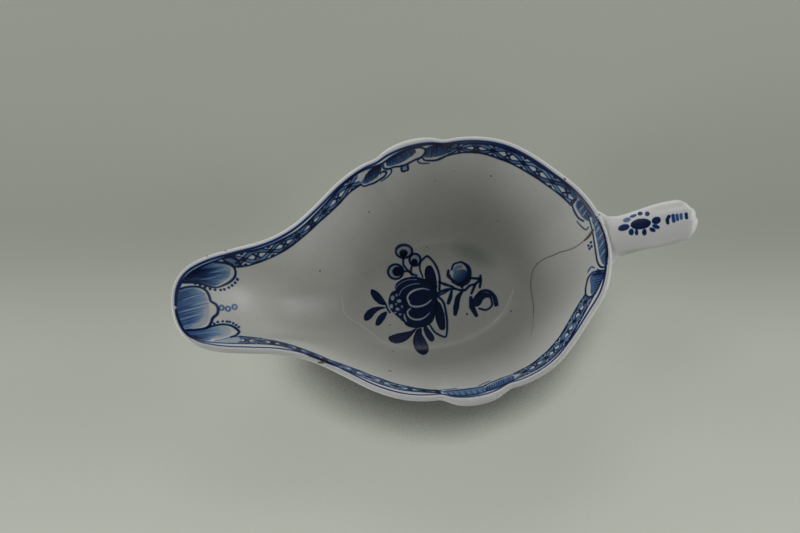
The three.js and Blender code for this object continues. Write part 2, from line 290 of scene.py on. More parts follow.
def make_joined(nodes, name, surface, voxel, above):
    """Clay members and the slip that joins them, as the one skin that the glaze makes of them."""
    piece = copy_of(nodes, name)
    close_on(piece, surface, above)
    apply(piece, "DISPLACE", strength=GLAZE_SWELL * MM, mid_level=0.0)
    apply(piece, "REMESH", mode="VOXEL", voxel_size=voxel * MM, adaptivity=0.0)
    apply(piece, "SMOOTH", factor=0.5, iterations=6)
    close_on(piece, surface, above)
    keep_in_box(piece)
    bpy.ops.object.shade_smooth()
    return piece


def keep_in_box(piece):
    """Draws a piece in by hairbreadths where it stands out of the solid model's box."""
    for axis in range(3):
        spots = [v.co[axis] for v in piece.data.vertices]
        low, high = min(spots), max(spots)
        new_low, new_high = max(low, solid_box[0][axis]), min(high, solid_box[1][axis])
        for vertex in piece.data.vertices:
            share = (vertex.co[axis] - low) / (high - low)
            vertex.co[axis] = new_low + share * (new_high - new_low)


# The painter's charts

def smooth_path(points, step, closed=False):
    """Points at an even step along a smooth curve through the given ones."""
    points = np.array(points, float)
    if len(points) == 2 and not closed:
        count = max(2, int(np.linalg.norm(points[1] - points[0]) / step) + 1)
        return points[0] + np.linspace(0, 1, count)[:, None] * (points[1] - points[0])
    if closed:
        padded = np.vstack([points[-1], points, points[0], points[1]])
    else:
        padded = np.vstack([2 * points[0] - points[1], points, 2 * points[-1] - points[-2]])
    runs = []
    for a, b, c, d in zip(padded, padded[1:], padded[2:], padded[3:]):
        t0 = 0.0
        t1 = t0 + np.linalg.norm(b - a) ** 0.5 + 1e-9
        t2 = t1 + np.linalg.norm(c - b) ** 0.5 + 1e-9
        t3 = t2 + np.linalg.norm(d - c) ** 0.5 + 1e-9
        t = np.linspace(t1, t2, 24, endpoint=False)[:, None]
        ab = (t1 - t) / (t1 - t0) * a + (t - t0) / (t1 - t0) * b
        bc = (t2 - t) / (t2 - t1) * b + (t - t1) / (t2 - t1) * c
        cd = (t3 - t) / (t3 - t2) * c + (t - t2) / (t3 - t2) * d
        abc = (t2 - t) / (t2 - t0) * ab + (t - t0) / (t2 - t0) * bc
        bcd = (t3 - t) / (t3 - t1) * bc + (t - t1) / (t3 - t1) * cd
        runs.append((t2 - t) / (t2 - t1) * abc + (t - t1) / (t2 - t1) * bcd)
    fine = np.vstack(runs + [points[:1] if closed else points[-1:]])
    length = np.concatenate([[0], np.cumsum(np.linalg.norm(np.diff(fine, axis=0), axis=1))])
    count = max(2, int(length[-1] / step) + 1)
    even = np.linspace(0, length[-1], count)
    return np.column_stack([np.interp(even, length, fine[:, k]) for k in range(fine.shape[1])])


class RimChart:
    """Millimetres along the rim and down the wall inside it. Along runs both ways from the handle, at 0."""

    def __init__(self, surface, column_step, row_step, top, depth):
        left = np.array(RIM_PLAN, float)
        right = left[1:-1][::-1] * (1, -1)
        loop = smooth_path(np.vstack([left, right]), column_step, closed=True)[:-1]
        length = column_step * len(loop)
        along = np.arange(len(loop)) * column_step
        along = np.where(along > length / 2, along - length, along)
        order = np.argsort(along)
        loop, along = loop[order], along[order]
        turn = np.roll(loop, -1, axis=0) - np.roll(loop, 1, axis=0)
        turn /= np.linalg.norm(turn, axis=1)[:, None]
        inward = np.column_stack([-turn[:, 1], turn[:, 0]])
        self.along = along
        self.down = np.arange(top, depth, row_step)
        self.column_step = column_step
        self.row_step = row_step
        self.places, self.normals = [], []
        for base, way in zip(loop, inward):
            column, normals = self.read_column(surface, base, way)
            self.places.append(column)
            self.normals.append(normals)
        self.places = np.array(self.places)
        self.normals = np.array(self.normals)

    def read_column(self, surface, base, way):
        """Points down the wall at an even step, from the inner edge of the lip."""
        steps = np.arange(SCAN_FROM, SCAN_TO, SCAN_STEP)
        found = [surface.drop(*(base + way * step)) for step in steps]
        points = np.array([p for p, _ in found if p is not None])
        normals = np.array([n for p, n in found if p is not None])
        crest = int(np.argmax(points[:CREST_WITHIN, 2]))
        points, normals = points[crest:], normals[crest:]
        length = np.concatenate([[0], np.cumsum(np.linalg.norm(np.diff(points, axis=0), axis=1))])
        edge = np.interp(LIP_DROP * MM, points[0, 2] - points[:, 2], length)
        at = edge + self.down * MM
        column = np.column_stack([np.interp(at, length, points[:, k]) for k in range(3)])
        smooth = np.column_stack([np.interp(at, length, normals[:, k]) for k in range(3)])
        return column, smooth / np.linalg.norm(smooth, axis=1)[:, None]

    def find(self, plan):
        """Along and down for places given in plan, in millimetres."""
        grid = self.places[:, :, :2] / MM
        answers = np.full((len(plan), 2), 10.0 * NOWHERE)
        picked = grid[::COARSE[0], ::COARSE[1]]
        coarse = picked.reshape(-1, 2)
        rows = picked.shape[1]
        for k, p in enumerate(plan):
            near = int(np.argmin(((coarse - p) ** 2).sum(1)))
            if np.linalg.norm(coarse[near] - p) > FARTHEST:
                continue
            i, j = near // rows * COARSE[0], near % rows * COARSE[1]
            i0, j0 = max(0, i - AROUND[0]), max(0, j - AROUND[1])
            patch = grid[i0:i + AROUND[0] + 1, j0:j + AROUND[1] + 1]
            best = int(np.argmin(((patch - p) ** 2).sum(2)))
            i, j = i0 + best // patch.shape[1], j0 + best % patch.shape[1]
            i, j = min(max(i, 1), len(grid) - 2), min(max(j, 1), grid.shape[1] - 2)
            axes = np.column_stack([grid[i + 1, j] - grid[i - 1, j], grid[i, j + 1] - grid[i, j - 1]]) / 2
            di, dj = np.linalg.solve(axes, p - grid[i, j])
            answers[k] = self.along[i] + di * self.column_step, self.down[j] + dj * self.row_step
        return answers


# Brush marks

class Painting:
    """Marks of the brush, each laid out flat on a chart of millimetres: the plan, or the rim's."""

    def __init__(self, surface, rim=None):
        self.surface = surface
        self.rim = rim
        self.marks = []

    def chart(self, name, pixels):
        """Pixels of the photograph as places on a chart. The ones that miss the ware are left out."""
        seen = [self.surface.seen(*p) for p in pixels]
        plan = np.array([p[:2] for p in seen if p is not None]).reshape(-1, 2)
        if name == "plan":
            return plan
        found = self.rim.find(plan)
        return found[found[:, 0] < NOWHERE]

    def lay(self, chart, points, width, cobalt, soft=STROKE_SOFT):
        """One stroke over points of a chart. The width may be a list that swells and thins along it."""
        if len(points) < 2:
            return
        path = smooth_path(points, STROKE_STEP)
        share = np.linspace(0, 1, len(path))
        widths = np.atleast_1d(width)
        width = np.interp(share, np.linspace(0, 1, len(widths)), widths)
        tremble = np.interp(share, np.linspace(0, 1, 9), rng.uniform(0.9, 1.1, 9))
        half = width * tremble / 2
        self.marks.append({"chart": chart, "path": path, "half": half, "cobalt": cobalt, "soft": soft})

    def gap(self, pixels, width, share, chart="plan"):
        """A line left bare between two brush marks, or nearly bare, by the share that is missing."""
        self.lay(chart, self.chart(chart, pixels), width, share, 0.12)
        self.marks[-1]["bare"] = True

    def bare_oval(self, centre, radii, share):
        """A round spot that the brush went round."""
        self.oval(centre, radii, share)
        self.marks[-1]["bare"] = True

    def stroke(self, pixels, width, cobalt, chart="plan", soft=STROKE_SOFT):
        """One stroke through pixels of the photograph, its width in millimetres."""
        self.lay(chart, self.chart(chart, pixels), width, cobalt, soft)

    def wash(self, pixels, cobalt, chart="plan", fade=None, soft=WASH_SOFT, pool=WASH_POOL):
        """A filled shape. Colour pools at its edge, and may fade from one pixel to another."""
        if fade is not None:
            ends = self.chart(chart, fade[:2])
            fade = (ends[0], ends[1], fade[2])
        edge = smooth_path(self.chart(chart, pixels), WASH_STEP, closed=True)
        mark = {"chart": chart, "edge": edge, "cobalt": cobalt, "fade": fade, "soft": soft, "pool": pool}
        self.marks.append(mark)

    def dots(self, pixels, across, cobalt, chart="plan"):
        """A touch of the brush's tip at each pixel."""
        for centre in self.chart(chart, pixels):
            self.lay(chart, [centre, centre + (0.06, 0.03)], across, cobalt, 0.13)

    def ring(self, centre, radii, width, cobalt):
        """An oval line round a pixel, its radii also in pixels."""
        self.stroke(oval_pixels(centre, radii, np.linspace(0, 360, 20)), width, cobalt)

    def oval(self, centre, radii, cobalt, tilt=0):
        """A filled oval round a pixel."""
        self.wash(oval_pixels(centre, radii, np.arange(0, 360, 30), tilt), cobalt, pool=0.1)

    def hatch(self, first, last, count, width, cobalt, chart="plan"):
        """Strokes side by side, from one line to another, each line given by its pixels."""
        starts = spaced(self.chart(chart, first), count)
        ends = spaced(self.chart(chart, last), count)
        for start, end in zip(starts, ends):
            reach = rng.uniform(0.8, 1.0)
            load = cobalt * rng.uniform(0.65, 1.35)
            middle = (start + end) / 2 + rng.normal(0, 0.06, 2)
            self.lay(chart, [start, middle, start + (end - start) * reach], [width, width, width / 3], load)

    def laid_on(self, plan, along_rim):
        """How much cobalt all the marks together lay on each place."""
        laid = np.zeros(len(plan))
        for mark in self.marks:
            at = plan if mark["chart"] == "plan" else along_rim
            guide = mark["path"] if "path" in mark else mark["edge"]
            reach = (mark["half"].max() if "path" in mark else 0.5) + mark["soft"]
            low, high = guide.min(0) - reach, guide.max(0) + reach
            near = np.flatnonzero(np.all((at > low) & (at < high), axis=1))
            if len(near) == 0:
                continue
            added = stroke_cover(at[near], mark) if "path" in mark else wash_cover(at[near], mark)
            if "bare" in mark:
                laid[near] *= 1 - np.minimum(added, 1)
            else:
                laid[near] += added * (1 - 0.2 * np.minimum(laid[near], 2))
        return np.clip(laid, 0, DARKEST)


def oval_pixels(centre, radii, degrees, tilt=0):
    """Pixels on an oval round a centre, at angles from its first axis, which may be tilted."""
    angle = np.radians(degrees)
    c, s = math.cos(math.radians(tilt)), math.sin(math.radians(tilt))
    across, upwards = radii[0] * np.cos(angle), radii[1] * np.sin(angle)
    return np.array(centre) + np.column_stack([across * c - upwards * s, across * s + upwards * c])


def spaced(points, count):
    """So many places at an even step along a line."""
    path = smooth_path(points, 0.1)
    return path[np.linspace(0, len(path) - 1, count).astype(int)]


def soft_step(depth, soft):
    """From 0 outside an edge to 1 inside it, over the edge's softness on both sides."""
    share = np.clip((depth + soft) / (2 * soft), 0, 1)
    return share * share * (3 - 2 * share)


def stroke_cover(at, mark):
    """How much cobalt one stroke lays on each place, worked out a batch of its points at a time."""
    best = np.full(len(at), -np.inf)
    batch = 64
    for start in range(0, len(mark["path"]), batch):
        path = mark["path"][start:start + batch]
        half = mark["half"][start:start + batch]
        gap = np.linalg.norm(at[:, None] - path[None], axis=2)
        best = np.maximum(best, (half[None] - gap).max(1))
    return mark["cobalt"] * soft_step(best, mark["soft"])


def wash_cover(at, mark):
    """How much cobalt one wash lays on each place."""
    edge = mark["edge"]
    after = np.roll(edge, -1, axis=0)
    inside = np.zeros(len(at), bool)
    gap = np.full(len(at), np.inf)
    for (x0, y0), (x1, y1) in zip(edge, after):
        crosses = (at[:, 1] < y0) != (at[:, 1] < y1)
        if y0 != y1:
            inside ^= crosses & (at[:, 0] < x0 + (at[:, 1] - y0) / (y1 - y0) * (x1 - x0))
        gap = np.minimum(gap, np.hypot(at[:, 0] - x0, at[:, 1] - y0))
    depth = np.where(inside, gap, -gap)
    cobalt = mark["cobalt"]
    if mark["fade"] is not None:
        start, end, last = mark["fade"]
        run = np.clip((at - start) @ (end - start) / ((end - start) @ (end - start)), 0, 1)
        cobalt = cobalt + (last - cobalt) * run
    return cobalt * soft_step(depth, mark["soft"]) * (1 + mark["pool"] * np.exp(-np.abs(depth) / POOL_REACH))


# The floor's spray: where each mark lies, in the photograph's pixels

BERRIES = {
    "top": ((404, 251.4), (8.2, 6.5), (403.5, 253), (4.2, 3.8)),
    "left": ((395.6, 271.7), (7.6, 7.3), (397.5, 271.5), (5.2, 4.8)),
    "right": ((415, 259.8), (5.5, 6), (414.5, 262), (3.2, 3.4)),
}
BERRY_STEMS = [
    [(403.2, 258.2), (403.6, 264.8), (407.2, 269.6), (412, 273.8), (416.8, 275.6)],
    [(403, 271.4), (408.4, 271.4), (412, 274.4)],
    [(412, 266), (410.8, 270.8), (412, 275)],
]
PEONY_HEAD = [
    (396.5, 283.5), (401, 279.8), (407, 277.6), (415, 276.6), (424, 278.6), (431, 281), (436, 287),
    (437.5, 295), (437, 304), (435.5, 314), (432.5, 321.5), (426, 326.3), (418, 328), (410.5, 327.3),
    (405.5, 324.6), (403, 320), (403.5, 314.5), (405.5, 309.5), (404, 305), (403, 301), (399, 297.5),
    (397, 292), (395, 288),
]
PEONY_GAPS = {
    "under the back petal": (
        [(394.5, 290.5), (397.5, 285.6), (402.5, 282), (409, 279.8), (416.5, 279.6)], 0.4, 0.7,
    ),
    "over the inner petal": (
        [(399, 295.5), (401.5, 290.4), (406, 286.8), (412, 284.4), (419, 283.6)], 0.45, 0.75,
    ),
    "middle petal's upper rim": (
        [(408.4, 301.5), (407.4, 297.5), (410.2, 293), (416, 289.8), (423, 288.6), (429, 289.8)],
        [0.6, 0.9, 0.7, 0.4], 0.95,
    ),
    "middle petal's lower rim": (
        [(408.2, 300.5), (410, 304.7), (414.6, 306.6), (420.5, 306.2), (426.4, 304), (431, 300.2)],
        [0.7, 0.8, 0.7, 0.5], 0.95,
    ),
    "lower petal's rim": (
        [
            (410.5, 308.4), (407.6, 311.6), (408.6, 315.8), (412.4, 318.8), (418, 319.6), (424, 317.8),
            (429.6, 313),
        ],
        [0.6, 0.75, 0.7, 0.4], 0.95,
    ),
    "bottom petal's edge": ([(403.4, 313.4), (404.6, 317.5), (406.4, 321.4)], [0.8, 0.9, 0.5], 0.9),
}
SEED_HEAD = [
    (396, 290.5), (391.5, 292.5), (389, 298), (388.7, 304), (390.5, 309.5), (394.5, 314), (399.5, 318.2),
    (403.2, 321.5), (403.6, 315), (405.5, 309.5), (404.5, 304), (403, 300), (399.5, 297), (397.5, 293),
]
SEEDS = [
    ((392.6, 298), (1.9, 2.7)), ((399.2, 301), (2.2, 1.7)), ((391.4, 306.4), (1.7, 2.3)),
    ((397.6, 309.2), (1.9, 1.6)), ((396, 304), (1.1, 0.9)), ((402, 306.6), (1, 1.3)),
    ((395, 312.8), (1.3, 0.9)), ((400.2, 314.4), (1.4, 1)), ((396.6, 295), (0.9, 1.6)),
]
SEPAL_OUTLINES = [
    [
        (422.8, 277), (419.8, 268.4), (420.4, 262.4), (424, 258.2), (427, 256.2), (432.4, 260.6),
        (437.2, 268.4), (439.6, 278), (439.4, 290),
    ],
    [
        (429.4, 324.2), (434.8, 332), (442, 336.2), (445.6, 336.8), (447.2, 326), (446.2, 314),
        (443.2, 302), (438.4, 296.6),
    ],
]
SEPAL_CORES = [
    [
        (425.5, 279), (424.8, 271), (427, 266.3), (430.5, 265.6), (433.8, 270), (436.2, 279), (436.8, 289),
        (433, 289), (429, 283),
    ],
    [
        (436, 300), (440, 303), (443.8, 312), (445.2, 322), (444.6, 329.5), (440.5, 329.6), (436.5, 322),
        (435, 311),
    ],
]
LEAVES = [
    [
        (371.2, 289.4), (377, 291.5), (381.5, 296), (385, 301.5), (386.4, 304.6), (381, 304.6),
        (376, 301.5), (372, 296.5), (370.6, 292),
    ],
    [
        (386, 307.5), (379, 306.8), (372, 308), (366.5, 311.5), (364, 316), (364.5, 320), (367.5, 320.6),
        (371.5, 318), (375, 313.5), (379, 310.3),
    ],
    [
        (387, 311.8), (382, 313), (378, 317), (375.8, 321.5), (376, 325.3), (379, 325.3), (383, 321.5),
        (386, 316.5),
    ],
    [
        (417, 328), (409, 331.5), (400, 333), (393, 335), (388.6, 337.3), (389.5, 340.5), (395, 343.3),
        (401, 342.8), (407, 340), (412, 335),
    ],
    [
        (417.5, 329), (414, 336), (413, 342), (414.5, 348), (418, 352.5), (424, 355), (428, 352),
        (428.3, 346), (425.5, 340), (422, 334), (421.5, 328.5),
    ],
    [
        (423.5, 328), (425, 334), (428, 339), (431, 341.5), (434, 340.5), (434, 336.5), (431, 332),
        (428, 328), (426, 325.5),
    ],
]
LEAF_STEM = [(386, 304.6), (387.6, 309), (390, 312.5)]
BUD_STEMS = [
    [(439, 282), (445, 284.4), (452, 286.6)],
    [(452, 286.6), (455.2, 288.8), (464.8, 290), (469.6, 285.8), (475.6, 284)],
    [(436, 294.2), (442, 291.2), (448, 289.4), (455, 288.8)],
    [(461.2, 285.2), (462.4, 287.6)],
    [(470.2, 278), (474, 278.4), (479.8, 279.2), (475.6, 284)],
    [(480.4, 275.6), (480.6, 281.5), (479.8, 287.6)],
    [(475.6, 284), (473.4, 288.8), (471.4, 293.6)],
]
BUD_SPRIG = [(438.4, 295.4), (443.5, 293.4), (448, 290.6)]
FIRST_BUD_CRESCENT = [
    (461.2, 261.8), (467.2, 266), (469.6, 273.2), (467.2, 281.6), (460, 284.6), (452.8, 281.6),
]
FIRST_BUD_ARC = [(451.6, 269.6), (454, 264.2), (460, 262.2)]
FIRST_BUD_INSIDE = [
    (453.5, 273), (458, 270), (464, 269.6), (467.4, 272), (467, 279), (461, 283.8), (454.5, 281.5),
]
FIRST_BUD_GLINT = [(454.4, 270.6), (457, 267.6), (461, 266.6)]
FIRST_BUD_SEPAL = [(448.4, 270.6), (448.2, 275), (452.6, 280.4)]
SMALL_LEAF = [(451.6, 291.2), (450.4, 297), (448.4, 303)]
LONG_LEAF = [(462.4, 291.2), (458.2, 297.2), (456.6, 304.5), (455.2, 314)]
SECOND_BUD_ARC = [(475.8, 296.4), (481.6, 291.2), (488.8, 291.2), (494.2, 296.6), (496.2, 304.4)]
SECOND_BUD_EDGE = [(491.2, 298.4), (491.8, 305.6), (486.4, 309.8), (479.2, 308.6)]
SECOND_BUD_CORE = [
    (474, 297.5), (479, 293.4), (485, 292.4), (490.6, 294.6), (491.4, 298.6), (487.6, 297.4),
    (483.4, 299.4), (480.4, 304.6), (476, 306.6), (472.5, 302),
]
SECOND_BUD_PETAL = [(470.8, 297.4), (471.8, 306), (476.2, 315.2)]


def thin_along(painting, outline, aside, share):
    """A streak of thinner blue along a leaf, a share of the way from its middle to its edge."""
    edge = smooth_path(painting.chart("plan", outline), WASH_STEP, closed=True)
    half = len(edge) // 2
    first, second = edge[2:half - 1], edge[-3:half + 1:-1]
    count = min(len(first), len(second))
    middle = (first[:count] + second[:count]) / 2
    line = middle + (first[:count] - middle) * aside
    start, end = int(count * rng.uniform(0.1, 0.25)), int(count * rng.uniform(0.7, 0.9))
    if end - start > 1:
        painting.lay("plan", line[start:end], [0.2, 0.45, 0.3], share)
        painting.marks[-1]["bare"] = True


def paint_spray(painting):
    """The peony spray on the floor: berries, flower, leaves and two buds."""
    paint_berries(painting)
    paint_peony(painting)
    for outline in LEAVES:
        painting.wash(outline, 2.65, soft=0.14)
        for aside in (-0.45, 0.05, 0.5):
            thin_along(painting, outline, aside + rng.uniform(-0.1, 0.1), rng.uniform(0.08, 0.22))
    painting.stroke(LEAF_STEM, 0.7, 2.6)
    paint_buds(painting)


def paint_berries(painting):
    """Three berries: a pale disc, a dark rim and a dark heart, each on its stem."""
    for ring, radii, core, inside in BERRIES.values():
        painting.oval(ring, radii, 0.4)
        painting.ring(ring, radii, 0.9, 2.6)
        painting.oval(core, inside, 2.7)
    for stem in BERRY_STEMS:
        painting.stroke(stem, 0.85, 2.6)


def paint_peony(painting):
    """The flower, dark but for the thin gaps between its petals and round its seeds."""
    painting.wash(PEONY_HEAD, 2.7, soft=0.14)
    for line, width, share in PEONY_GAPS.values():
        painting.gap(line, width, share)
    painting.wash(SEED_HEAD, 2.5, soft=0.14)
    for centre, radii in SEEDS:
        painting.bare_oval(centre, radii, 0.85)
    for outline in SEPAL_OUTLINES:
        painting.stroke(outline, [0.7, 0.85, 0.95], 2.6)
    for core in SEPAL_CORES:
        painting.wash(core, 2.7, soft=0.14)


def paint_buds(painting):
    """The two buds on the right of the spray, on stems with small leaves."""
    for stem in BUD_STEMS:
        painting.stroke(stem, [0.9, 1.15, 0.95], 2.6)
    painting.stroke(BUD_SPRIG, 0.8, 2.5)
    painting.wash(FIRST_BUD_INSIDE, 2.4, fade=((466, 279), (455, 269), 0.7), soft=0.3)
    painting.stroke(FIRST_BUD_CRESCENT, [0.8, 1.6, 1.9, 1.8, 1.1], 2.6)
    painting.stroke(FIRST_BUD_ARC, 0.75, 2.5)
    painting.stroke(FIRST_BUD_GLINT, 1.2, 0.9, soft=0.4)
    painting.stroke(FIRST_BUD_SEPAL, [1.0, 1.5, 1.0], 2.6)
    painting.stroke(SMALL_LEAF, [1.0, 1.7, 1.4], 2.7)
    painting.stroke(LONG_LEAF, [1.0, 2.0, 2.4, 1.5], 2.7)
    painting.wash(SECOND_BUD_CORE, 2.5, soft=0.3)
    painting.stroke(SECOND_BUD_ARC, [0.9, 1.2, 1.5, 1.9], 2.7)
    painting.stroke(SECOND_BUD_EDGE, 0.85, 2.5)
    painting.stroke(SECOND_BUD_PETAL, [1.2, 2.3, 1.5], 2.7)


FLOOR_CORNERS = [(360, 238), (360, 360), (502, 238), (502, 360)]

# The pale line where the wall turns into the floor: a painted highlight along the crease, and thinner glaze
# there
PALE_LINES = (
    [
        (341.6, 297), (342.6, 304), (344.4, 312.6), (351, 319.4), (360, 324.4), (370.5, 332), (380, 339.6),
        (386, 343),
    ],
    [
        (519.6, 271), (518, 279), (514.6, 287), (509.4, 300.4), (503, 312), (497, 319), (491, 325),
        (486, 329),
    ],
)
PALE_CORNERS = ([(336, 290), (392, 350)], [(482, 266), (526, 334)])


# The spout's three lobed panels

MIDDLE_PANEL = [
    (179.8, 288.9), (186, 287.2), (192.9, 286.6), (199.7, 287.2), (205.4, 290), (208.8, 295.1),
    (211, 301.3), (215.6, 304.2), (218, 308.7), (217.3, 313.8), (212.7, 318.3), (211, 322.9),
    (208.8, 326.3), (204.2, 328.5), (194, 329.7), (187.2, 329.7), (183.4, 330.2),
]
MIDDLE_WASH = [
    (176.5, 300), (179, 290), (188, 288.2), (198, 289), (204, 293), (207.5, 300), (209.5, 308), (209, 318),
    (205, 325), (196, 328), (186, 328.5), (179.5, 322), (176.5, 312),
]
MIDDLE_STREAK_STARTS = [(178.5, 293), (175.8, 305), (176.8, 318), (183.5, 328.5)]
MIDDLE_STREAK_ENDS = [(198, 287.8), (207.5, 296), (209.5, 307), (203, 320)]
MIDDLE_GAPS = [
    [(180, 320), (190, 317), (201, 314.2)], [(184, 326.8), (193, 324.6), (203, 321.8)],
    [(179, 312.4), (192, 309), (206, 305.6)], [(182, 300.6), (192, 297), (203, 294.4)],
    [(190, 306.4), (199, 303.4), (208, 301.6)],
]
UPPER_PANEL = [
    (183.5, 282.4), (195, 282.8), (203, 284.4), (210, 286.8), (217, 287.4), (224, 285), (231, 281),
    (235, 276), (235.4, 271), (233.5, 267), (229, 264.3), (222, 262.6), (214, 262),
]
UPPER_WASH = [
    (183.5, 281.5), (186, 277), (192, 271.5), (199, 266.8), (206, 263.6), (214, 263), (224, 264.5),
    (230, 268), (230.5, 274), (226, 279.5), (219, 284), (211, 285.4), (203, 283), (195, 281.8),
]
UPPER_DARK = [(184.6, 281.2), (189, 277), (195, 272.2), (203, 268), (213, 264.8)]
UPPER_TIP = [(196, 281.6), (205, 283), (212, 285), (218.6, 283.6)]
UPPER_GAPS = [
    [(207, 273.6), (216, 271.6), (226, 268.4)], [(201, 279.6), (212, 277.6), (222, 275)],
    [(216, 283.6), (224, 279.8)],
]
UPPER_STREAK_STARTS = [(193, 270.5), (187, 276.5), (186.5, 281)]
UPPER_STREAK_ENDS = [(226, 265.5), (231, 272), (222, 283)]
UPPER_DOTS = [
    (195, 283.6), (200, 285.2), (205, 287.2), (210, 289), (215, 289.8), (220.6, 290), (224.2, 289.4),
    (228.6, 287.6), (232, 285.4), (235, 282.8), (237.4, 279.4),
]
LOWER_PANEL = [
    (187, 330.6), (198, 329.6), (206, 328.4), (209.9, 327), (215.6, 325.4), (223.5, 324.4), (232, 326),
    (237.8, 330), (239, 332), (236, 335.4), (231, 337),
]
LOWER_WASH = [
    (184.5, 331.5), (196, 330.4), (207, 329.4), (215, 326.8), (224, 326), (230, 328.5), (230, 334),
    (222, 337.4), (210, 339.2), (199, 339.4), (190, 336.2),
]
LOWER_STREAK_STARTS = [(187, 332), (190, 335), (196, 338.4)]
LOWER_STREAK_ENDS = [(222, 327), (228, 331), (216, 338)]
LOWER_BAND = [(241, 336.6), (232, 337), (224, 338.8), (214, 341), (228, 342.4), (241, 343)]
LOWER_DARK = [(189, 335.6), (195, 337.4), (202, 339.6), (210, 339.6)]
LOWER_DOTS = [
    (214, 323.6), (217.6, 322), (222.6, 321.4), (227, 321.6), (229.6, 322), (233, 323.4), (236, 325),
    (238.8, 327),
]
PENDANT_RINGS = [(221.6, 307.8), (228, 308.8), (234.6, 307)]
TURNED_LEAF = [(223, 259.5), (229, 256.2), (236, 257.5), (239.5, 262.5), (235, 264.4), (229, 263.4)]
TURNED_LEAF_LINES = [
    [(222.5, 258.8), (226, 262), (231.5, 264.6), (235, 267)],
    [(225, 257.4), (232, 257), (238.5, 261.5), (241.5, 266)],
]


def paint_spout(painting):
    """Three lobed panels that fan out from the spout's lip, streaked as the brush left them."""
    painting.wash(MIDDLE_WASH, 1.25, fade=((178, 302), (209, 311), 0.3), pool=0.1)
    painting.hatch(MIDDLE_STREAK_STARTS, MIDDLE_STREAK_ENDS, 26, 0.6, 0.8)
    for gap in MIDDLE_GAPS:
        painting.gap(gap, [0.2, 0.45, 0.3], 0.6)
    painting.stroke(MIDDLE_PANEL, [0.7, 0.9, 1.1, 0.9, 0.6], 2.7)
    painting.wash(UPPER_WASH, 1.3, fade=((188, 276), (232, 272), 0.6), pool=0.1)
    painting.hatch(UPPER_STREAK_STARTS, UPPER_STREAK_ENDS, 18, 0.6, 0.8)
    for gap in UPPER_GAPS:
        painting.gap(gap, [0.2, 0.5, 0.3], 0.5)
    painting.stroke(UPPER_DARK, [1.6, 1.4, 1.0, 0.5], 0.7, soft=0.4)
    painting.stroke(UPPER_TIP, [0.6, 1.6, 1.9, 0.6], 1.0, soft=0.5)
    painting.stroke(UPPER_PANEL, [0.9, 0.8, 0.6, 0.8, 0.9, 0.7], 2.6)
    painting.dots(UPPER_DOTS, 0.95, 2.8)
    painting.wash(LOWER_WASH, 1.0, fade=((188, 334), (232, 331), 0.25), pool=0.1)
    painting.hatch(LOWER_STREAK_STARTS, LOWER_STREAK_ENDS, 12, 0.5, 0.7)
    painting.wash(LOWER_BAND, 0.4)
    painting.stroke(LOWER_BAND[:4], [0.6, 0.6, 0.4, 0.3], 1.1)
    painting.stroke(LOWER_DARK, [0.8, 1.3, 1.1, 0.6], 1.4, soft=0.4)
    painting.stroke(LOWER_PANEL, [0.8, 0.8, 0.8, 1.1, 0.9], 2.6)
    painting.dots(LOWER_DOTS, 0.9, 2.7)
    for centre in PENDANT_RINGS:
        painting.oval(centre, (2.2, 2.2), 0.3)
        painting.ring(centre, (2.3, 2.4), 0.62, 1.5)
    painting.wash(TURNED_LEAF, 1.3)
    for line in TURNED_LEAF_LINES:
        painting.stroke(line, 0.8, 2.5)


# The border under the lip: its two lines, its crossings and its panels of leaves

FAR_TOP_LINE = [
    (175.7, 305), (175.8, 301), (176.6, 294), (179, 287), (182.6, 281), (187.5, 275.6), (195, 270),
    (204, 265.4), (214, 261.4), (225, 257.6), (240, 253), (260, 248.6), (280, 240.6), (300, 229),
    (320, 210), (335, 193.5), (345, 183), (354, 175.5), (365, 169.5), (376, 166), (384, 162.5), (400, 153),
    (412, 148), (425, 145), (445, 144.2), (460, 143.8), (480, 143.5), (495, 145.5), (510, 150), (525, 157),
    (540, 166), (552, 174), (566, 184), (585, 204), (597, 221), (604, 239), (607, 255), (605, 270),
    (601, 282), (595, 294),
]
FAR_BOTTOM_LINE = [
    (237, 267), (248, 265.6), (260, 262), (280, 253), (300, 239), (320, 221), (340, 203), (350, 192),
    (361, 184.5),
]
RIGHT_BOTTOM_LINE = [
    (447, 155.4), (460, 152.8), (480, 153), (500, 159), (520, 168), (540, 180), (560, 195), (571, 205.5),
]
NEAR_BOTTOM_LINE = [
    (585, 295), (580, 302), (573, 314), (567, 325), (560, 336.5), (550, 348.5), (540, 357.5), (530, 365),
    (520, 370.5), (514, 373.5),
]
NEAR_TOP_LINE = [
    (595, 293), (592, 299), (588, 306.5), (584, 314), (580, 321), (576, 328), (572, 335), (568, 341),
    (562, 348), (556, 354.5), (550, 360), (540, 367.5), (530, 373), (520, 377.5), (513, 380.5),
]
LEFT_BOTTOM_LINE = [
    (440, 390.4), (430, 389.9), (420, 388.6), (410, 386.8), (400, 384.8), (390, 382), (380, 378.2),
    (370, 375), (360, 370.6), (350, 367), (340, 363.2), (330, 360), (320, 355.6), (310, 351.6), (300, 348),
    (290, 344.6), (280, 342), (270, 340), (260, 338.2), (250, 337.2), (240, 336.4),
]
LEFT_TOP_LINE = [
    (440, 393.2), (430, 392.6), (420, 392), (410, 391.2), (400, 389.8), (390, 387.2), (380, 384),
    (370, 380.2), (360, 376), (350, 371.6), (340, 367.4), (330, 363.6), (320, 359.4), (310, 355.6),
    (300, 351.6), (290, 348.4), (280, 346), (270, 344.6), (260, 344), (250, 343.8), (240, 343.6),
    (225, 343.2), (213, 342.4), (202, 341), (193, 338.4), (186, 334), (180.6, 327), (177.2, 318),
    (175.8, 309), (175.7, 305),
]
FAR_CROSSINGS = [(243, 257.5), (270, 250), (297, 235), (324, 211), (351, 188)]
RIGHT_CROSSINGS = [(459, 149), (493, 152.5), (523, 163.5), (553, 181)]
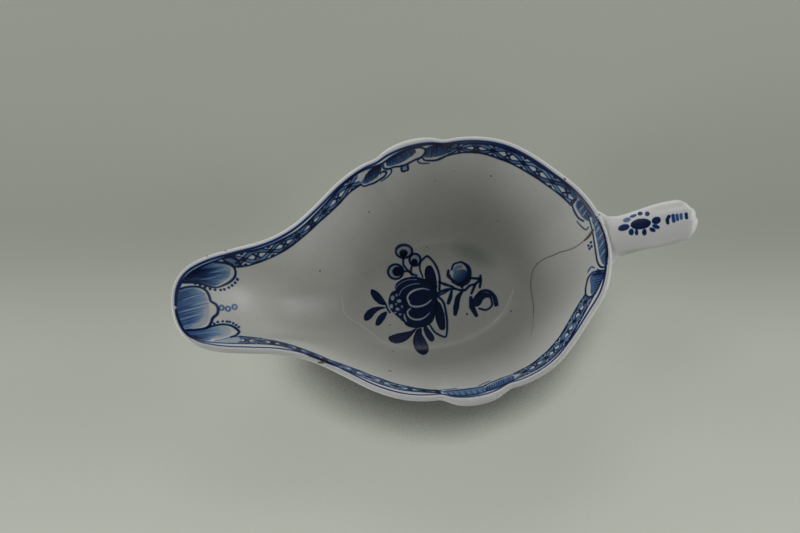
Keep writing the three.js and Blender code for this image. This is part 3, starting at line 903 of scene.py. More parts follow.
NEAR_CROSSINGS = [(587, 302), (573, 321), (560, 341), (545, 357), (524, 371)]
LEFT_CROSSINGS = [
    (424, 390.6), (396, 386.4), (367, 377.6), (338, 365.4), (311, 354), (286, 345.4), (260, 341),
    (233, 340),
]


class Border:
    """A run of the border, between a line below the lip and one further down the wall."""

    def __init__(self, painting, top_line, bottom_line):
        self.painting = painting
        self.top = np.array(sorted(painting.chart("rim", top_line).tolist()))
        self.bottom = np.array(sorted(painting.chart("rim", bottom_line).tolist()))

    def place(self, along, share):
        """A place so far along the rim, and at a share of the way from the top line to the bottom one."""
        top = np.interp(along, self.top[:, 0], self.top[:, 1])
        bottom = np.interp(along, self.bottom[:, 0], self.bottom[:, 1])
        return np.column_stack([along, top + (bottom - top) * share])

    def lay(self, along, share, width, cobalt, soft=STROKE_SOFT):
        """One stroke through places of the run."""
        self.painting.lay("rim", self.place(along, share), width, cobalt, soft)


# A ribbon's width in millimetres, how far off its middle its edges run and how far it swings from side to
# side, as shares of the border's width, and how many places it is drawn through between two crossings.
RIBBON = 1.5
RIBBON_EDGE = 0.15
RIBBON_SWING = 0.4
PITCH_STEPS = 15


def paint_cells(border, crossings):
    """Two ribbons that cross and part again, with a white flower in each eye and a dot in each corner."""
    middles = np.sort(border.painting.chart("rim", crossings)[:, 0])
    pitch = np.diff(middles).mean()
    low, high = border.bottom[0, 0], border.bottom[-1, 0]
    middles = np.concatenate([[middles[0] - pitch], middles, [middles[-1] + pitch]])
    for first, last in zip(middles, middles[1:]):
        along = np.linspace(first, last, PITCH_STEPS)
        run = (along - first) / (last - first)
        inside = (along > low) & (along < high)
        if inside.sum() > 3:
            paint_ribbons(border, along[inside], run[inside])
        if low < (first + last) / 2 < high:
            paint_flower(border, (first + last) / 2, last - first)
    for middle in middles:
        if low < middle < high:
            paint_corners(border, middle)


def paint_ribbons(border, along, run):
    """Two ribbons from one crossing to the next: dark edges with thinner, uneven blue between them."""
    swing = RIBBON_SWING * np.sin(math.pi * run)
    for side in (-1, 1):
        ribbon = 0.5 + side * swing
        border.lay(along, ribbon, RIBBON, rng.uniform(0.9, 1.5), 0.25)
        for edge in (-1, 1):
            share = np.clip(ribbon + edge * RIBBON_EDGE, 0.02, 0.98)
            border.lay(along, share + rng.normal(0, 0.014), 0.5, rng.uniform(1.8, 2.7))
        third = len(along) // 3
        if third > 1:
            line = np.full(third + 1, 0.5 + side * 0.43)
            border.lay(along[third:2 * third + 1], line, [0.5, 1.1, 0.5], rng.uniform(1.4, 2.4), 0.25)


def paint_flower(border, middle, pitch):
    """A dark cross that parts the eye into four white petals."""
    for lean in (-1, 1):
        along = middle + np.linspace(-1, 1, 5) * 0.105 * pitch
        border.lay(along, 0.5 + lean * np.linspace(-0.2, 0.2, 5), [0.7, 0.9, 1.0, 0.9, 0.7], 2.7)


def paint_corners(border, middle):
    """The triangles above and below a crossing: white, with a dot against the line."""
    for share in (0.1, 0.9):
        along = np.array([middle - 0.15, middle + 0.15])
        border.lay(along, np.array([share, share]), 1.15, 2.6, 0.14)


def paint_border(painting):
    """The painted border round the inside of the rim, dark against the lip."""
    runs = (
        (FAR_TOP_LINE, FAR_BOTTOM_LINE, FAR_CROSSINGS),
        (FAR_TOP_LINE, RIGHT_BOTTOM_LINE, RIGHT_CROSSINGS),
        (NEAR_TOP_LINE, NEAR_BOTTOM_LINE, NEAR_CROSSINGS),
        (LEFT_TOP_LINE, LEFT_BOTTOM_LINE, LEFT_CROSSINGS),
    )
    for top, bottom, crossings in runs:
        border = Border(painting, top, bottom)
        paint_cells(border, crossings)
        along = np.arange(border.bottom[0, 0], border.bottom[-1, 0], 1.5)
        border.lay(along, np.ones(len(along)), [0.9, 0.7, 1.0, 0.8, 1.0, 0.7, 0.9], 2.6)
    for line in (FAR_TOP_LINE, NEAR_TOP_LINE, LEFT_TOP_LINE):
        painting.stroke(line, [1.0, 0.8, 1.1, 0.9, 1.1, 0.8, 1.0], 2.5, "rim")


# The leaf panels of the far side, the handle's end and the near side

FAR_LEAVES = {
    "first": {
        "outline": [
            (361, 184.6), (364, 186.2), (369, 184.6), (374, 183), (380, 179.4), (385, 175.6),
            (386.4, 172.6), (383.6, 171.4), (380.6, 173),
        ],
        "fill": [
            (361.6, 182.6), (364, 177.6), (368, 172.6), (373, 168.2), (380, 164.8), (382.6, 166.4),
            (380.6, 170), (379.4, 173.4), (376.4, 177.6), (371.6, 180.8), (366, 183.6),
        ],
        "hatch": (
            [(366, 174.6), (372, 169), (380, 165.4)], [(364.4, 184), (373, 181.4), (380.6, 175.4)], 13,
        ),
        "dark": [(369, 172), (375, 168.4), (381, 165.6)],
        "outer": [(386.6, 169.4), (390.6, 168.8), (391.4, 172), (388.4, 176), (384.6, 179), (381, 181.2)],
    },
    "second": {
        "outline": [
            (383, 164.2), (383.8, 168), (388, 169), (395, 166.8), (401, 166.2), (407, 164), (414.7, 160),
            (421.3, 157), (424.8, 153), (424.8, 149.4), (420.6, 147.4), (414, 148.2),
        ],
        "fill": [
            (386, 164.8), (387, 161), (392, 157), (400, 152.6), (408, 148.8), (413.4, 148), (416, 151),
            (414, 154), (408, 158.6), (402, 162), (396, 164.4), (390, 166.2),
        ],
        "hatch": (
            [(387.4, 161.4), (399, 153.4), (413, 148.4)], [(387.4, 166.4), (402, 162.8), (416.4, 154)], 17,
        ),
        "dark": [(386, 161), (393, 156.6), (401, 152.2), (408, 148.8), (414, 147.6)],
        "outer": [(379.6, 168.4), (381.6, 164), (386, 160.8)],
    },
    "third": {
        "outline": [
            (422.6, 157.6), (424.4, 160), (430, 160.6), (436, 160.2), (441, 158.4), (446.4, 155.8),
            (452.6, 153.6),
        ],
        "fill": [
            (424, 157), (425, 151), (430, 147), (438, 145.2), (447, 145.4), (452, 147), (450.6, 151),
            (446, 153.6), (440, 156), (432, 157.4),
        ],
        "hatch": (
            [(427, 148.6), (438, 145.2), (450, 145.6)], [(425.6, 158.4), (438, 157), (450.4, 152.6)], 15,
        ),
        "dark": [(427, 148.4), (434, 146), (442, 145.6), (450, 146.4)],
        "outer": [(421.6, 157.6), (417.6, 160.6), (420, 163), (429.3, 163.4)],
    },
}
FAR_PENDANT = [(401.4, 165.6), (402, 171), (407.6, 170.4), (407.8, 165.2)]
FAR_PENDANT_WASH = [(401.4, 166.4), (407.6, 165.2), (408.4, 170.2), (403, 171.6)]
FAR_CURL = [(417, 147.6), (421.6, 147.6), (427.4, 149.6)]
BACK_LEAVES = {
    "first": {
        "outline": [
            (571, 203), (572.6, 200.4), (576, 199.4), (572.4, 204.4), (573.4, 209), (575.8, 214),
            (579, 218.4), (583.4, 221),
        ],
        "fill": [
            (575.6, 204.6), (578, 200.6), (583, 200.8), (588, 206.4), (592.4, 213.4), (594, 217.4),
            (590, 217.4), (588.4, 221), (584, 218.8), (580, 214), (577, 209),
        ],
        "hatch": ([(578, 201), (586, 203.6), (593, 213)], [(577, 209), (580.6, 214.6), (586.6, 220)], 12),
        "dark": [(581, 201.6), (586.4, 206), (590.4, 211.6), (593.6, 217)],
        "outer": [(577, 221.4), (580.6, 225.6), (586, 229.6), (588.6, 227)],
    },
    "second": {
        "outline": [
            (588.4, 216.6), (590, 222), (592, 229), (593.6, 238), (594.8, 246), (596, 254), (597.4, 261.6),
            (600.4, 266.6), (604.4, 267), (606.8, 263.6),
        ],
        "fill": [
            (593, 215.6), (598.6, 220.6), (603.6, 231), (606.6, 241), (608, 250), (607.8, 259),
            (605.6, 265), (602, 263), (599.6, 256), (598, 247), (596, 236), (594.2, 227), (591.8, 220),
        ],
        "hatch": (
            [(597, 217), (603, 229), (607, 241), (608, 256)],
            [(592.6, 225), (596, 239), (598.6, 252), (602.6, 264)], 15,
        ),
        "dark": [(594.4, 217.4), (600.6, 226), (604.6, 236), (607, 247), (607.2, 257)],
        "outer": [(597, 269.4), (602, 270.6), (606, 269)],
    },
    "third": {
        "outline": [
            (600, 271), (595.4, 271.4), (591.6, 273.4), (588.2, 278), (586.4, 284), (585.6, 290),
            (585.8, 294.6), (588.6, 297), (592.4, 296), (595.4, 292.6),
        ],
        "fill": [
            (591.4, 275), (597, 271.8), (604.6, 270.4), (604, 276), (601, 283.6), (597.6, 290.4),
            (593.6, 294.6), (590.6, 293), (590.8, 286), (590, 280),
        ],
        "hatch": ([(603.6, 273), (601, 280), (597, 289)], [(593, 275), (591.6, 282), (592, 291)], 7),
        "dark": [(593, 275), (598, 273.6), (603, 273.4)],
        "outer": [(594.6, 268), (591.4, 267), (588.6, 270.6), (586, 275.6), (584.8, 280)],
    },
}
BACK_GAPS = [
    [(594, 226.6), (597.4, 221.4)], [(595.4, 233), (600.6, 225.4)], [(597, 241.6), (603.4, 232.4)],
    [(598.2, 249), (605, 239.4)], [(600, 257.4), (606, 248.4)], [(579, 211), (584, 205.4)],
    [(582.4, 216), (586.4, 210.4)],
]
BACK_PENDANT = [(591, 242.4), (588.6, 245.6), (591.6, 246.4), (589.6, 248.6)]
BACK_LIP_WASH = [
    (549, 171.6), (558, 176.4), (567, 183), (576, 191.4), (585, 202.4), (589, 208), (584, 203.4),
    (577, 199), (570, 196), (564, 189.6), (556, 183),
]
NEAR_LEAVES = {
    "first": {
        "outline": [(512, 374.6), (504, 377.4), (497, 380.2), (490, 383), (485, 385.4)],
        "fill": [
            (514, 380.6), (513, 375.6), (505, 378.2), (498, 381), (491, 384), (486, 387), (487, 391.4),
            (496, 388.4), (505, 384.8),
        ],
        "hatch": ([(513, 380), (500, 386.2), (488, 391)], [(512, 375.4), (500, 379.8), (487, 386)], 12),
        "dark": [(513, 380.2), (505, 384.4), (496, 388.2), (487, 391.2)],
        "outer": [(479, 385.8), (485, 383), (490, 381)],
    },
    "second": {
        "outline": [(486, 385.8), (478, 387.4), (466, 389.2), (455, 390.4), (443, 391.6)],
        "fill": [
            (487, 391.6), (484, 387), (474, 388.6), (462, 390), (452, 391), (443, 392.4), (448, 395),
            (462, 396), (476, 394.6),
        ],
        "hatch": ([(484, 392), (466, 395.6), (450, 395)], [(482, 388), (464, 390.2), (447, 392)], 7),
        "dark": [(486, 391.8), (476, 394.4), (464, 395.8), (452, 395.2)],
        "outer": [(441, 390.2), (449, 389.4), (457, 388.2)],
    },
}


def paint_leaf_panel(painting, leaf, depth):
    """A pointed leaf hanging from the lip: a hatched wash with a bare margin, an outline and a line."""
    painting.wash(leaf["fill"], depth, "rim", pool=0.2)
    first, last, count = leaf["hatch"]
    painting.hatch(first, last, count, 0.55, 1.5, "rim")
    painting.stroke(leaf["dark"], [0.8, 1.7, 1.7, 0.8], 1.6, "rim", 0.5)
    painting.stroke(leaf["outline"], [0.7, 0.9, 0.95, 0.8], 2.7, "rim")
    painting.stroke(leaf["outer"], [0.5, 0.7, 0.5], 2.4, "rim")


def paint_leaf_panels(painting):
    """The panels of leaves that break the border, with the tassels that hang below them."""
    for leaf in FAR_LEAVES.values():
        paint_leaf_panel(painting, leaf, 1.4)
    painting.wash(FAR_PENDANT_WASH, 0.9, "rim")
    painting.stroke(FAR_PENDANT, 0.9, 2.5, "rim")
    painting.stroke(FAR_CURL, 0.8, 2.3, "rim")
    painting.wash(BACK_LIP_WASH, 0.9, "rim", soft=0.4)
    for leaf in BACK_LEAVES.values():
        paint_leaf_panel(painting, leaf, 1.4)
    for line in BACK_GAPS:
        painting.gap(line, [0.25, 0.5, 0.3], 0.85, "rim")
    painting.dots(BACK_PENDANT, 1.35, 2.4, "rim")
    for leaf in NEAR_LEAVES.values():
        paint_leaf_panel(painting, leaf, 1.1)


# Wear: a hairline crack from the lip beside the handle, stained brown where it is widest

CRACK = (
    ([(592, 231), (588.6, 236.6), (583, 241.6)], [1.3, 1.5, 0.6], 0.3),
    ([(593.4, 230), (588.6, 236.6), (583, 241.6)], [0.6, 0.6, 0.4], 0.7),
    (
        [(583, 241.6), (575.5, 247), (567, 250.4), (560, 252.2), (554, 255), (545, 258.5), (537, 264)],
        [0.42, 0.5, 0.42, 0.55, 0.42, 0.4], 0.8,
    ),
    (
        [(537, 264), (533.4, 269.6), (531.4, 277), (530.8, 285), (532, 296), (533.4, 305), (533.4, 313)],
        [0.38, 0.34, 0.4, 0.34], 0.75,
    ),
    ([(533.4, 313), (533, 322), (532, 330), (530.6, 336)], [0.34, 0.3, 0.2], 0.45),
)
CRACK_CORNERS = [(522, 236), (522, 342), (602, 222), (600, 262)]


def wear_crack(wear):
    """The crack's dark line and its stain, on the wall's plan and on the rim's chart."""
    for line, width, stain in CRACK:
        wear.stroke(line, width, stain, soft=0.14)
        wear.stroke(line, width, stain, "rim", 0.14)


# The sprig on the handle's thumb rest

SPRIG_OVAL = ((640.8, 224), (10.2, 5.3), -8)
SPRIG_PETALS = [
    ((623.8, 227.6), (5.8, 3.2), -15, 2.4), ((626.8, 220), (4, 2.2), -15, 1.5),
    ((633.2, 216), (3.6, 1.5), -20, 1.8), ((640.1, 213.6), (2.5, 2), -5, 2.3),
    ((647.3, 213.9), (2.3, 2.3), 30, 2.5), ((656.3, 220.5), (4.6, 3.6), -20, 2.6),
    ((656, 226.6), (4, 2), 20, 2.3), ((652.5, 229.8), (3.4, 2), 25, 2.3),
    ((631.3, 232), (2.6, 3.3), 0, 2.3), ((636.6, 232.3), (1.8, 3.2), 0, 2.3),
    ((644.4, 232.2), (2.3, 3.4), 0, 2.4),
]
SPRIG_DASHES = (
    ([(669, 216.4), (667.4, 219.4), (667.8, 223)], 1.3, 2.6), ([(673, 215.6), (673.8, 221)], 1.3, 2.1),
    ([(677, 215.2), (677.6, 219.8)], 1.2, 1.8), ([(681, 214.8), (681.4, 218.8)], 1.1, 1.7),
    ([(686.2, 214), (686.6, 218)], 1.2, 2.3),
)
SPRIG_CORNERS = [
    (615, 222), (618, 237), (640, 210), (656, 206), (680, 204), (690, 212), (690, 222), (640, 238),
]


def paint_sprig(painting):
    """A dark oval in a ring of petals, and a row of dashes along the thumb rest."""
    centre, radii, tilt = SPRIG_OVAL
    painting.oval(centre, radii, 2.8, tilt)
    for centre, radii, tilt, cobalt in SPRIG_PETALS:
        painting.oval(centre, radii, cobalt, tilt)
    for dash, width, cobalt in SPRIG_DASHES:
        painting.stroke(dash, width, cobalt)


# Painted glaze

def add_sheet(name, places, normals, kept, values):
    """A closed skin of painted glaze, a hair thick: the kept cells of a grid, with its values at their
    corners.
    """
    corner = np.full(places.shape[:2], -1)
    used = np.zeros(places.shape[:2], bool)
    for di, dj in ((0, 0), (1, 0), (0, 1), (1, 1)):
        used[di:di + kept.shape[0], dj:dj + kept.shape[1]] |= kept
    corner[used] = np.arange(used.sum())
    count = int(used.sum())
    front = places[used] + normals[used] * GLAZE_PROUD * MM
    back = places[used] - normals[used] * GLAZE_DEPTH * MM
    cells = np.argwhere(kept)
    a = corner[cells[:, 0], cells[:, 1]]
    b = corner[cells[:, 0] + 1, cells[:, 1]]
    c = corner[cells[:, 0] + 1, cells[:, 1] + 1]
    d = corner[cells[:, 0], cells[:, 1] + 1]
    faces = np.column_stack([a, b, c, d])
    walls = []
    padded = np.pad(kept, 1)
    for (i, j), quad in zip(cells, faces):
        beside = (padded[i + 1, j], padded[i + 2, j + 1], padded[i + 1, j + 2], padded[i, j + 1])
        for k in range(4):
            if not beside[k]:
                p, q = quad[k], quad[(k + 1) % 4]
                walls.append((p, p + count, q + count, q))
    faces = np.vstack([faces, faces[:, ::-1] + count, np.array(walls)])
    first = front[faces[0]]
    if np.dot(np.cross(first[1] - first[0], first[3] - first[0]), normals[tuple(cells[0])]) < 0:
        faces = faces[:, ::-1]
    mesh = bpy.data.meshes.new(name)
    mesh.from_pydata(np.vstack([front, back]).tolist(), [], faces.tolist())
    piece = bpy.data.objects.new(name, mesh)
    bpy.context.collection.objects.link(piece)
    for key, value in values.items():
        layer = mesh.attributes.new(key, "FLOAT", "POINT")
        layer.data.foreach_set("value", np.tile(value[used], 2).astype(np.float32))
    mesh.shade_smooth()
    facing = np.vstack([normals[used], -normals[used]])
    mesh.normals_split_custom_set_from_vertices(facing.tolist())
    return piece


def spread(mask, cells):
    """The mask, grown by so many cells."""
    for _ in range(cells):
        grown = mask.copy()
        grown[1:] |= mask[:-1]
        grown[:-1] |= mask[1:]
        grown[:, 1:] |= mask[:, :-1]
        grown[:, :-1] |= mask[:, 1:]
        mask = grown
    return mask


def paint_on(name, paintings, places, normals, along_rim, allowed, thin_and_lit):
    """A sheet of painted glaze where the marks lie, with a narrow bare margin."""
    plan = places[:, :, :2].reshape(-1, 2) / MM
    marked = np.zeros(places.shape[:2], bool)
    values = {"thin_and_lit": thin_and_lit}
    for key, painting in paintings.items():
        values[key] = painting.laid_on(plan, along_rim.reshape(-1, 2)).reshape(places.shape[:2])
        marked |= values[key] > FAINTEST
    near = spread(marked, SHEET_MARGIN) & allowed
    kept = near[:-1, :-1] & near[1:, :-1] & near[:-1, 1:] & near[1:, 1:]
    return add_sheet(name, places, normals, kept, values)


def plan_grid(surface, low, high):
    """Places and normals straight under an even grid in plan, from a low to a high corner in millimetres."""
    xs = np.arange(low[0], high[0], SHEET_STEP)
    ys = np.arange(low[1], high[1], SHEET_STEP)
    places = np.zeros((len(xs), len(ys), 3))
    normals = np.tile((0.0, 0.0, 1.0), (len(xs), len(ys), 1))
    found = np.zeros((len(xs), len(ys)), bool)
    for i, x in enumerate(xs):
        for j, y in enumerate(ys):
            place, normal = surface.drop(x, y)
            places[i, j] = (x * MM, y * MM, 0) if place is None else place
            if place is not None:
                normals[i, j] = normal
                found[i, j] = True
    return places, normals, found


def corners_in_plan(surface, pixels):
    """The low and high corner, in plan, of what a few pixels show."""
    seen = np.array([surface.seen(*p)[:2] for p in pixels])
    return seen.min(0), seen.max(0)


def whiteness(down):
    """How white the glaze is drawn, as painted highlight and thinner glaze, so far down from the lip's inner
    edge, in millimetres.
    """
    share = np.clip((WHITE_TO - down) / (WHITE_TO - WHITE_FROM), 0, 1)
    return share * share * (3 - 2 * share)


def make_border_sheet(painting, wear):
    """The border's paint and the crack's upper end, on the rim's chart."""
    rim = painting.rim
    base = np.abs(rim.along) < SPOUT_FROM
    places, normals = rim.places[base], rim.normals[base]
    along_rim = np.stack(np.meshgrid(rim.along[base], rim.down, indexing="ij"), axis=-1)
    allowed = np.ones(places.shape[:2], bool)
    marks = {"cobalt": painting, "stain": wear}
    thin_and_lit = whiteness(along_rim[:, :, 1])
    return paint_on("painted_border", marks, places, normals, along_rim, allowed, thin_and_lit)


def make_spout_sheet(painting):
    """The spout's paint, from its lip to where the border's sheet takes over along the walls."""
    places, normals, found = plan_grid(painting.surface, (SPOUT_TIP, -SPOUT_HALF), (SPOUT_END, SPOUT_HALF))
    plan = places[:, :, :2].reshape(-1, 2) / MM
    along_rim = painting.rim.find(plan)
    outline = np.array(RIM_PLAN[::-1])
    half = np.interp(plan[:, 0], outline[:, 0], outline[:, 1])
    on_wall = along_rim[:, 1] < CHART_DEPTH
    wall = (along_rim[:, 1] > CHART_TOP) & (np.abs(along_rim[:, 0]) >= SPOUT_FROM - SPOUT_LAP)
    inside = np.where(on_wall, wall, np.abs(plan[:, 1]) < half - SPOUT_WALL)
    allowed = found & inside.reshape(found.shape)
    thin_and_lit = whiteness(along_rim[:, 1]).reshape(found.shape)
    return paint_on("painted_spout", {"cobalt": painting}, places, normals, along_rim, allowed, thin_and_lit)


def make_plan_sheet(name, painting, corners, key, thin_and_lit):
    """Marks on a stretch of ware that lies open to the sky, away from the border."""
    low, high = corners_in_plan(painting.surface, corners)
    places, normals, found = plan_grid(painting.surface, low, high)
    nowhere = places[:, :, :2] / MM + 10.0 * NOWHERE
    return paint_on(name, {key: painting}, places, normals, nowhere, found, np.full(found.shape, thin_and_lit))


def make_pale_lines(surface):
    """The pale lines, painted highlights along the crease, each on a sheet of its own."""
    sheets = []
    for line, corners in zip(PALE_LINES, PALE_CORNERS):
        painting = Painting(surface)
        painting.stroke(line, [0.3, 0.55, 0.45, 0.5, 0.3], 0.9, soft=0.2)
        sheets.append(make_plan_sheet(f"pale_glaze_highlight_line_{len(sheets) + 1}", painting, corners, "thin_and_lit", 0.0))
    return sheets


def make_crack_sheet(wear):
    """The crack below the border's sheet."""
    low, high = corners_in_plan(wear.surface, CRACK_CORNERS)
    places, normals, found = plan_grid(wear.surface, low, high)
    plan = places[:, :, :2].reshape(-1, 2) / MM
    nowhere = plan + 10.0 * NOWHERE
    close = spread(wear.laid_on(plan, nowhere).reshape(found.shape) > FAINTEST, SHEET_MARGIN + 1)
    down = nowhere[:, 1].reshape(found.shape)
    down[close] = wear.rim.find(plan[close.ravel()])[:, 1]
    below = found & (down > wear.rim.down[-1] + 0.05)
    return paint_on("hairline_crack", {"stain": wear}, places, normals, nowhere, below, np.zeros(found.shape))


def mark_white_and_lit(piece, values):
    """Gives a piece the attribute that says how white its glaze is drawn, as painted highlight and thinner
    glaze.
    """
    layer = piece.data.attributes.new("thin_and_lit", "FLOAT", "POINT")
    layer.data.foreach_set("value", np.array(values, np.float32))


def whiten_lip(bowl, surface, rim):
    """Marks where the bowl's glaze is drawn white, as painted highlight and thinner glaze: over the lip, and
    all over the outside.
    """
    rows = np.flatnonzero(rim.down < WHITE_TO)
    places = rim.places[:, rows].reshape(-1, 3)
    downs = np.tile(rim.down[rows], len(rim.places))
    tree = KDTree(len(places))
    for index, place in enumerate(places):
        tree.insert(place, index)
    tree.balance()
    values = []
    for vertex in bowl.data.vertices:
        top, _ = surface.drop(vertex.co.x / MM, vertex.co.y / MM)
        if top is None or top[2] - vertex.co.z > UNDER_LIP * MM:
            values.append(1.0)
        else:
            values.append(float(whiteness(downs[tree.find(vertex.co)[1]])))
    mark_white_and_lit(bowl, values)


# Specks and chips: where each one lies in the photograph, and how far it reaches, in millimetres

KILN_SPECKS = (
    ((369, 212), 0.36, 0.3), ((320, 271), 0.36, 0.42), ((491, 176), 0.45, 0.3), ((390, 371), 0.75, 0.34),
    ((393, 351), 0.3, 0.26), ((427, 247), 0.26, 0.24), ((511, 311), 0.4, 0.36), ((454, 171), 0.22, 0.22),
    ((536, 190), 0.2, 0.2), ((498, 221), 0.24, 0.2), ((435, 181), 0.2, 0.2),
)
BROWN_SPECKS = (((467, 314), 0.5, 0.45), ((390, 325), 0.3, 0.3))
LIP_CHIPS = (
    ((223, 250), 0.55, 0.4), ((207, 256), 0.5, 0.38), ((565, 179), 0.5, 0.42), ((603, 213), 0.5, 0.4),
    ((321.5, 362.5), 1.5, 0.42), ((267, 245), 0.35, 0.3),
)

# How high a speck stands as a share of its breadth, and how uneven and turned it is.
SPECK_RISE = 0.3
SPECK_ROUGH = 0.06
SPECK_TURN = 0.3

# The boat's middle in the photograph, and how far towards it, in pixels, the ware is sought from a pixel that
# misses it.
BOAT_MIDDLE = np.array([431.0, 290.0])
SEEK_STEP = 0.5
SEEK_STEPS = 20


def settle(surface, pixel):
    """The ware's place and normal at a pixel, or at the first one towards the boat's middle that meets it."""
    pixel = np.array(pixel, float)
    way = (BOAT_MIDDLE - pixel) / np.linalg.norm(BOAT_MIDDLE - pixel)
    for step in range(SEEK_STEPS):
        place, normal = surface.cast(*view_ray(*(pixel + way * step * SEEK_STEP)))
        if place is not None:
            break
    return place, normal


def make_specks(name, surface, spots):
    """Grains burnt into the glaze: flattened beads, half sunk, each turned its own way."""
    deselect_all()
    made = []
    for pixel, long, broad in spots:
        place, normal = settle(surface, pixel)
        spin = Matrix.Rotation(rng.uniform(-SPECK_TURN, SPECK_TURN), 3, "Z")
        turn = Vector(normal).to_track_quat("Z", "Y").to_matrix() @ spin
        bpy.ops.mesh.primitive_ico_sphere_add(subdivisions=3, radius=MM, location=(0, 0, 0))
        speck = bpy.context.object
        size = Vector((long, broad, min(long, broad) * SPECK_RISE))
        for vertex in speck.data.vertices:
            vertex.co *= rng.uniform(1 - SPECK_ROUGH, 1 + SPECK_ROUGH)
            vertex.co = turn @ (vertex.co * size) + Vector(place)
        made.append(speck)
    deselect_all()
    for speck in made:
        speck.select_set(True)
    bpy.context.view_layer.objects.active = made[0]
    bpy.ops.object.join()
    made[0].name = name
    bpy.ops.object.shade_smooth()
    return made[0]


# Glaze, stage and light

# Cobalt's colour over white ware, from none to the thickest.
COBALT_STOPS = (
    (0.0, "#ffffff"), (0.14, "#cbd9ee"), (0.34, "#86ade0"), (0.58, "#3c66a4"), (0.78, "#17346f"),
    (1.0, "#08163c"),
)

# The greenish pool of glaze on the bowl's floor, darkened also as painted shade: the pixels of its ends, and
# half its breadth in metres.
POOL_AND_SHADE_ENDS = ((446, 240), (500, 267))
POOL_AND_SHADE_BREADTH = 0.0052

# Patterns, by the size of one of their spots in millimetres. Real grime and the grain of real card are finer
# than a pixel, so both are drawn coarser, at a size that just shows.
CLOUD_SIZE = 14.3
GRIME_SIZE = 1.11
WAVE_SIZE = 6.67
GRIT_SIZE = 0.4
CARD_GRAIN_SIZE = 1.11

# How high above the card the foot's rim is bare of glaze, and where the glaze begins, in metres.
BARE_TO = 0.0003
GLAZED_FROM = 0.0009

# The floor's sheen: the way along the card from front to back, where it starts and ends, and its strengths.
SHEEN_WAY = (0.19, 0.98, 0.0)
SHEEN_NEAR = -0.12
SHEEN_FAR = 0.14
SHEEN = ((0.0, 0.29), (0.35, 0.22), (0.62, 0.07), (1.0, 0.09))

# How a Mix node is set to blend two colours, its third input and output being the ones for colours.
BLEND = {"data_type": "RGBA"}
MULTIPLY = {"data_type": "RGBA", "blend_type": "MULTIPLY"}

# The card's shade round the boat: how near the boat counts, in metres, and the way to the light, from behind
# and above. Where less than the first share of the sky is open the shade is full, above the second there is
# none, and full shade leaves the last share of the card's tone.
SHADE_REACH = 0.034
SHADE_WAY = (0.0, 0.5, 0.866)
SHADE_FULL = 0.45
SHADE_CLEAR = 0.85
SHADE_LEFT = 0.14
SHADE_SAMPLES = 8


def linear(colour):
    """The linear colour of an sRGB hex value."""
    parts = [int(colour[k:k + 2], 16) / 255 for k in (1, 3, 5)]
    return [p / 12.92 if p <= 0.04045 else ((p + 0.055) / 1.055) ** 2.4 for p in parts] + [1.0]


def node(tree, kind, settings=None, **links):
    """Adds a node, with its properties and the values or sockets of its inputs."""
    made = tree.nodes.new(kind)
    for key, value in (settings or {}).items():
        setattr(made, key, value)
    for key, value in links.items():
        numbered = key[0] == "i" and key[1:].isdigit()
        socket = made.inputs[int(key[1:]) if numbered else key.replace("_", " ")]
        if isinstance(value, bpy.types.NodeSocket):
            tree.links.new(value, socket)
        else:
            socket.default_value = value
    return made


def scale_of(size):
    """A noise's scale for spots of a size in millimetres."""
    return 1 / (size * MM)


def glaze_colour(tree, place, surface):
    """Greyer inside as painted shade, and speckled; white on the lip and outside as painted highlight and
    thinner glaze; greenish where glaze gathers on the floor, and darker there as painted shade.
    """
    first, last = (Vector(surface.seen(*end)) * MM for end in POOL_AND_SHADE_ENDS)
    way = last - first
    cloud = node(tree, "ShaderNodeTexNoise", Vector=place, Scale=scale_of(CLOUD_SIZE), Detail=4.0).outputs[0]
    grime = node(tree, "ShaderNodeTexNoise", Vector=place, Scale=scale_of(GRIME_SIZE), Detail=2.0).outputs[0]
    spots = node(tree, "ShaderNodeMapRange", Value=grime, From_Min=0.58, From_Max=0.8, To_Max=0.3).outputs[0]
    # Painted shade: the inside is greyer than the lip and the outside.
    grey, pale = linear("#c9cac2"), linear("#d6d7d0")
    clear = node(tree, "ShaderNodeMix", BLEND, i0=cloud, i6=grey, i7=pale).outputs[2]
    inside = node(tree, "ShaderNodeMix", BLEND, i0=spots, i6=clear, i7=linear("#a9a99f")).outputs[2]
    # The greenish pool on the floor: gathered glaze, and painted shade that darkens it.
    pool = node(
        tree, "ShaderNodeMapping", {"vector_type": "TEXTURE"}, Vector=place, Location=(first + last) / 2,
        Rotation=(0.0, 0.0, math.atan2(way.y, way.x)), Scale=(way.length / 2, POOL_AND_SHADE_BREADTH, 10.0),
    ).outputs[0]
    far = node(tree, "ShaderNodeVectorMath", {"operation": "LENGTH"}, i0=pool).outputs["Value"]
    pool_and_shade = node(tree, "ShaderNodeMapRange", Value=far, From_Min=0.3, To_Min=0.6, To_Max=0.0).outputs[0]
    inside = node(tree, "ShaderNodeMix", BLEND, i0=pool_and_shade, i6=inside, i7=linear("#8f9f95")).outputs[2]
    thin_and_lit = node(tree, "ShaderNodeAttribute", {"attribute_name": "thin_and_lit"}).outputs["Fac"]
    # Painted highlight and thinner glaze: the lip and the outside are whiter than the inside.
    off_white, white = linear("#e3e3df"), linear("#ececea")
    outside = node(tree, "ShaderNodeMix", BLEND, i0=cloud, i6=off_white, i7=white).outputs[2]
    return node(tree, "ShaderNodeMix", BLEND, i0=thin_and_lit, i6=inside, i7=outside).outputs[2]


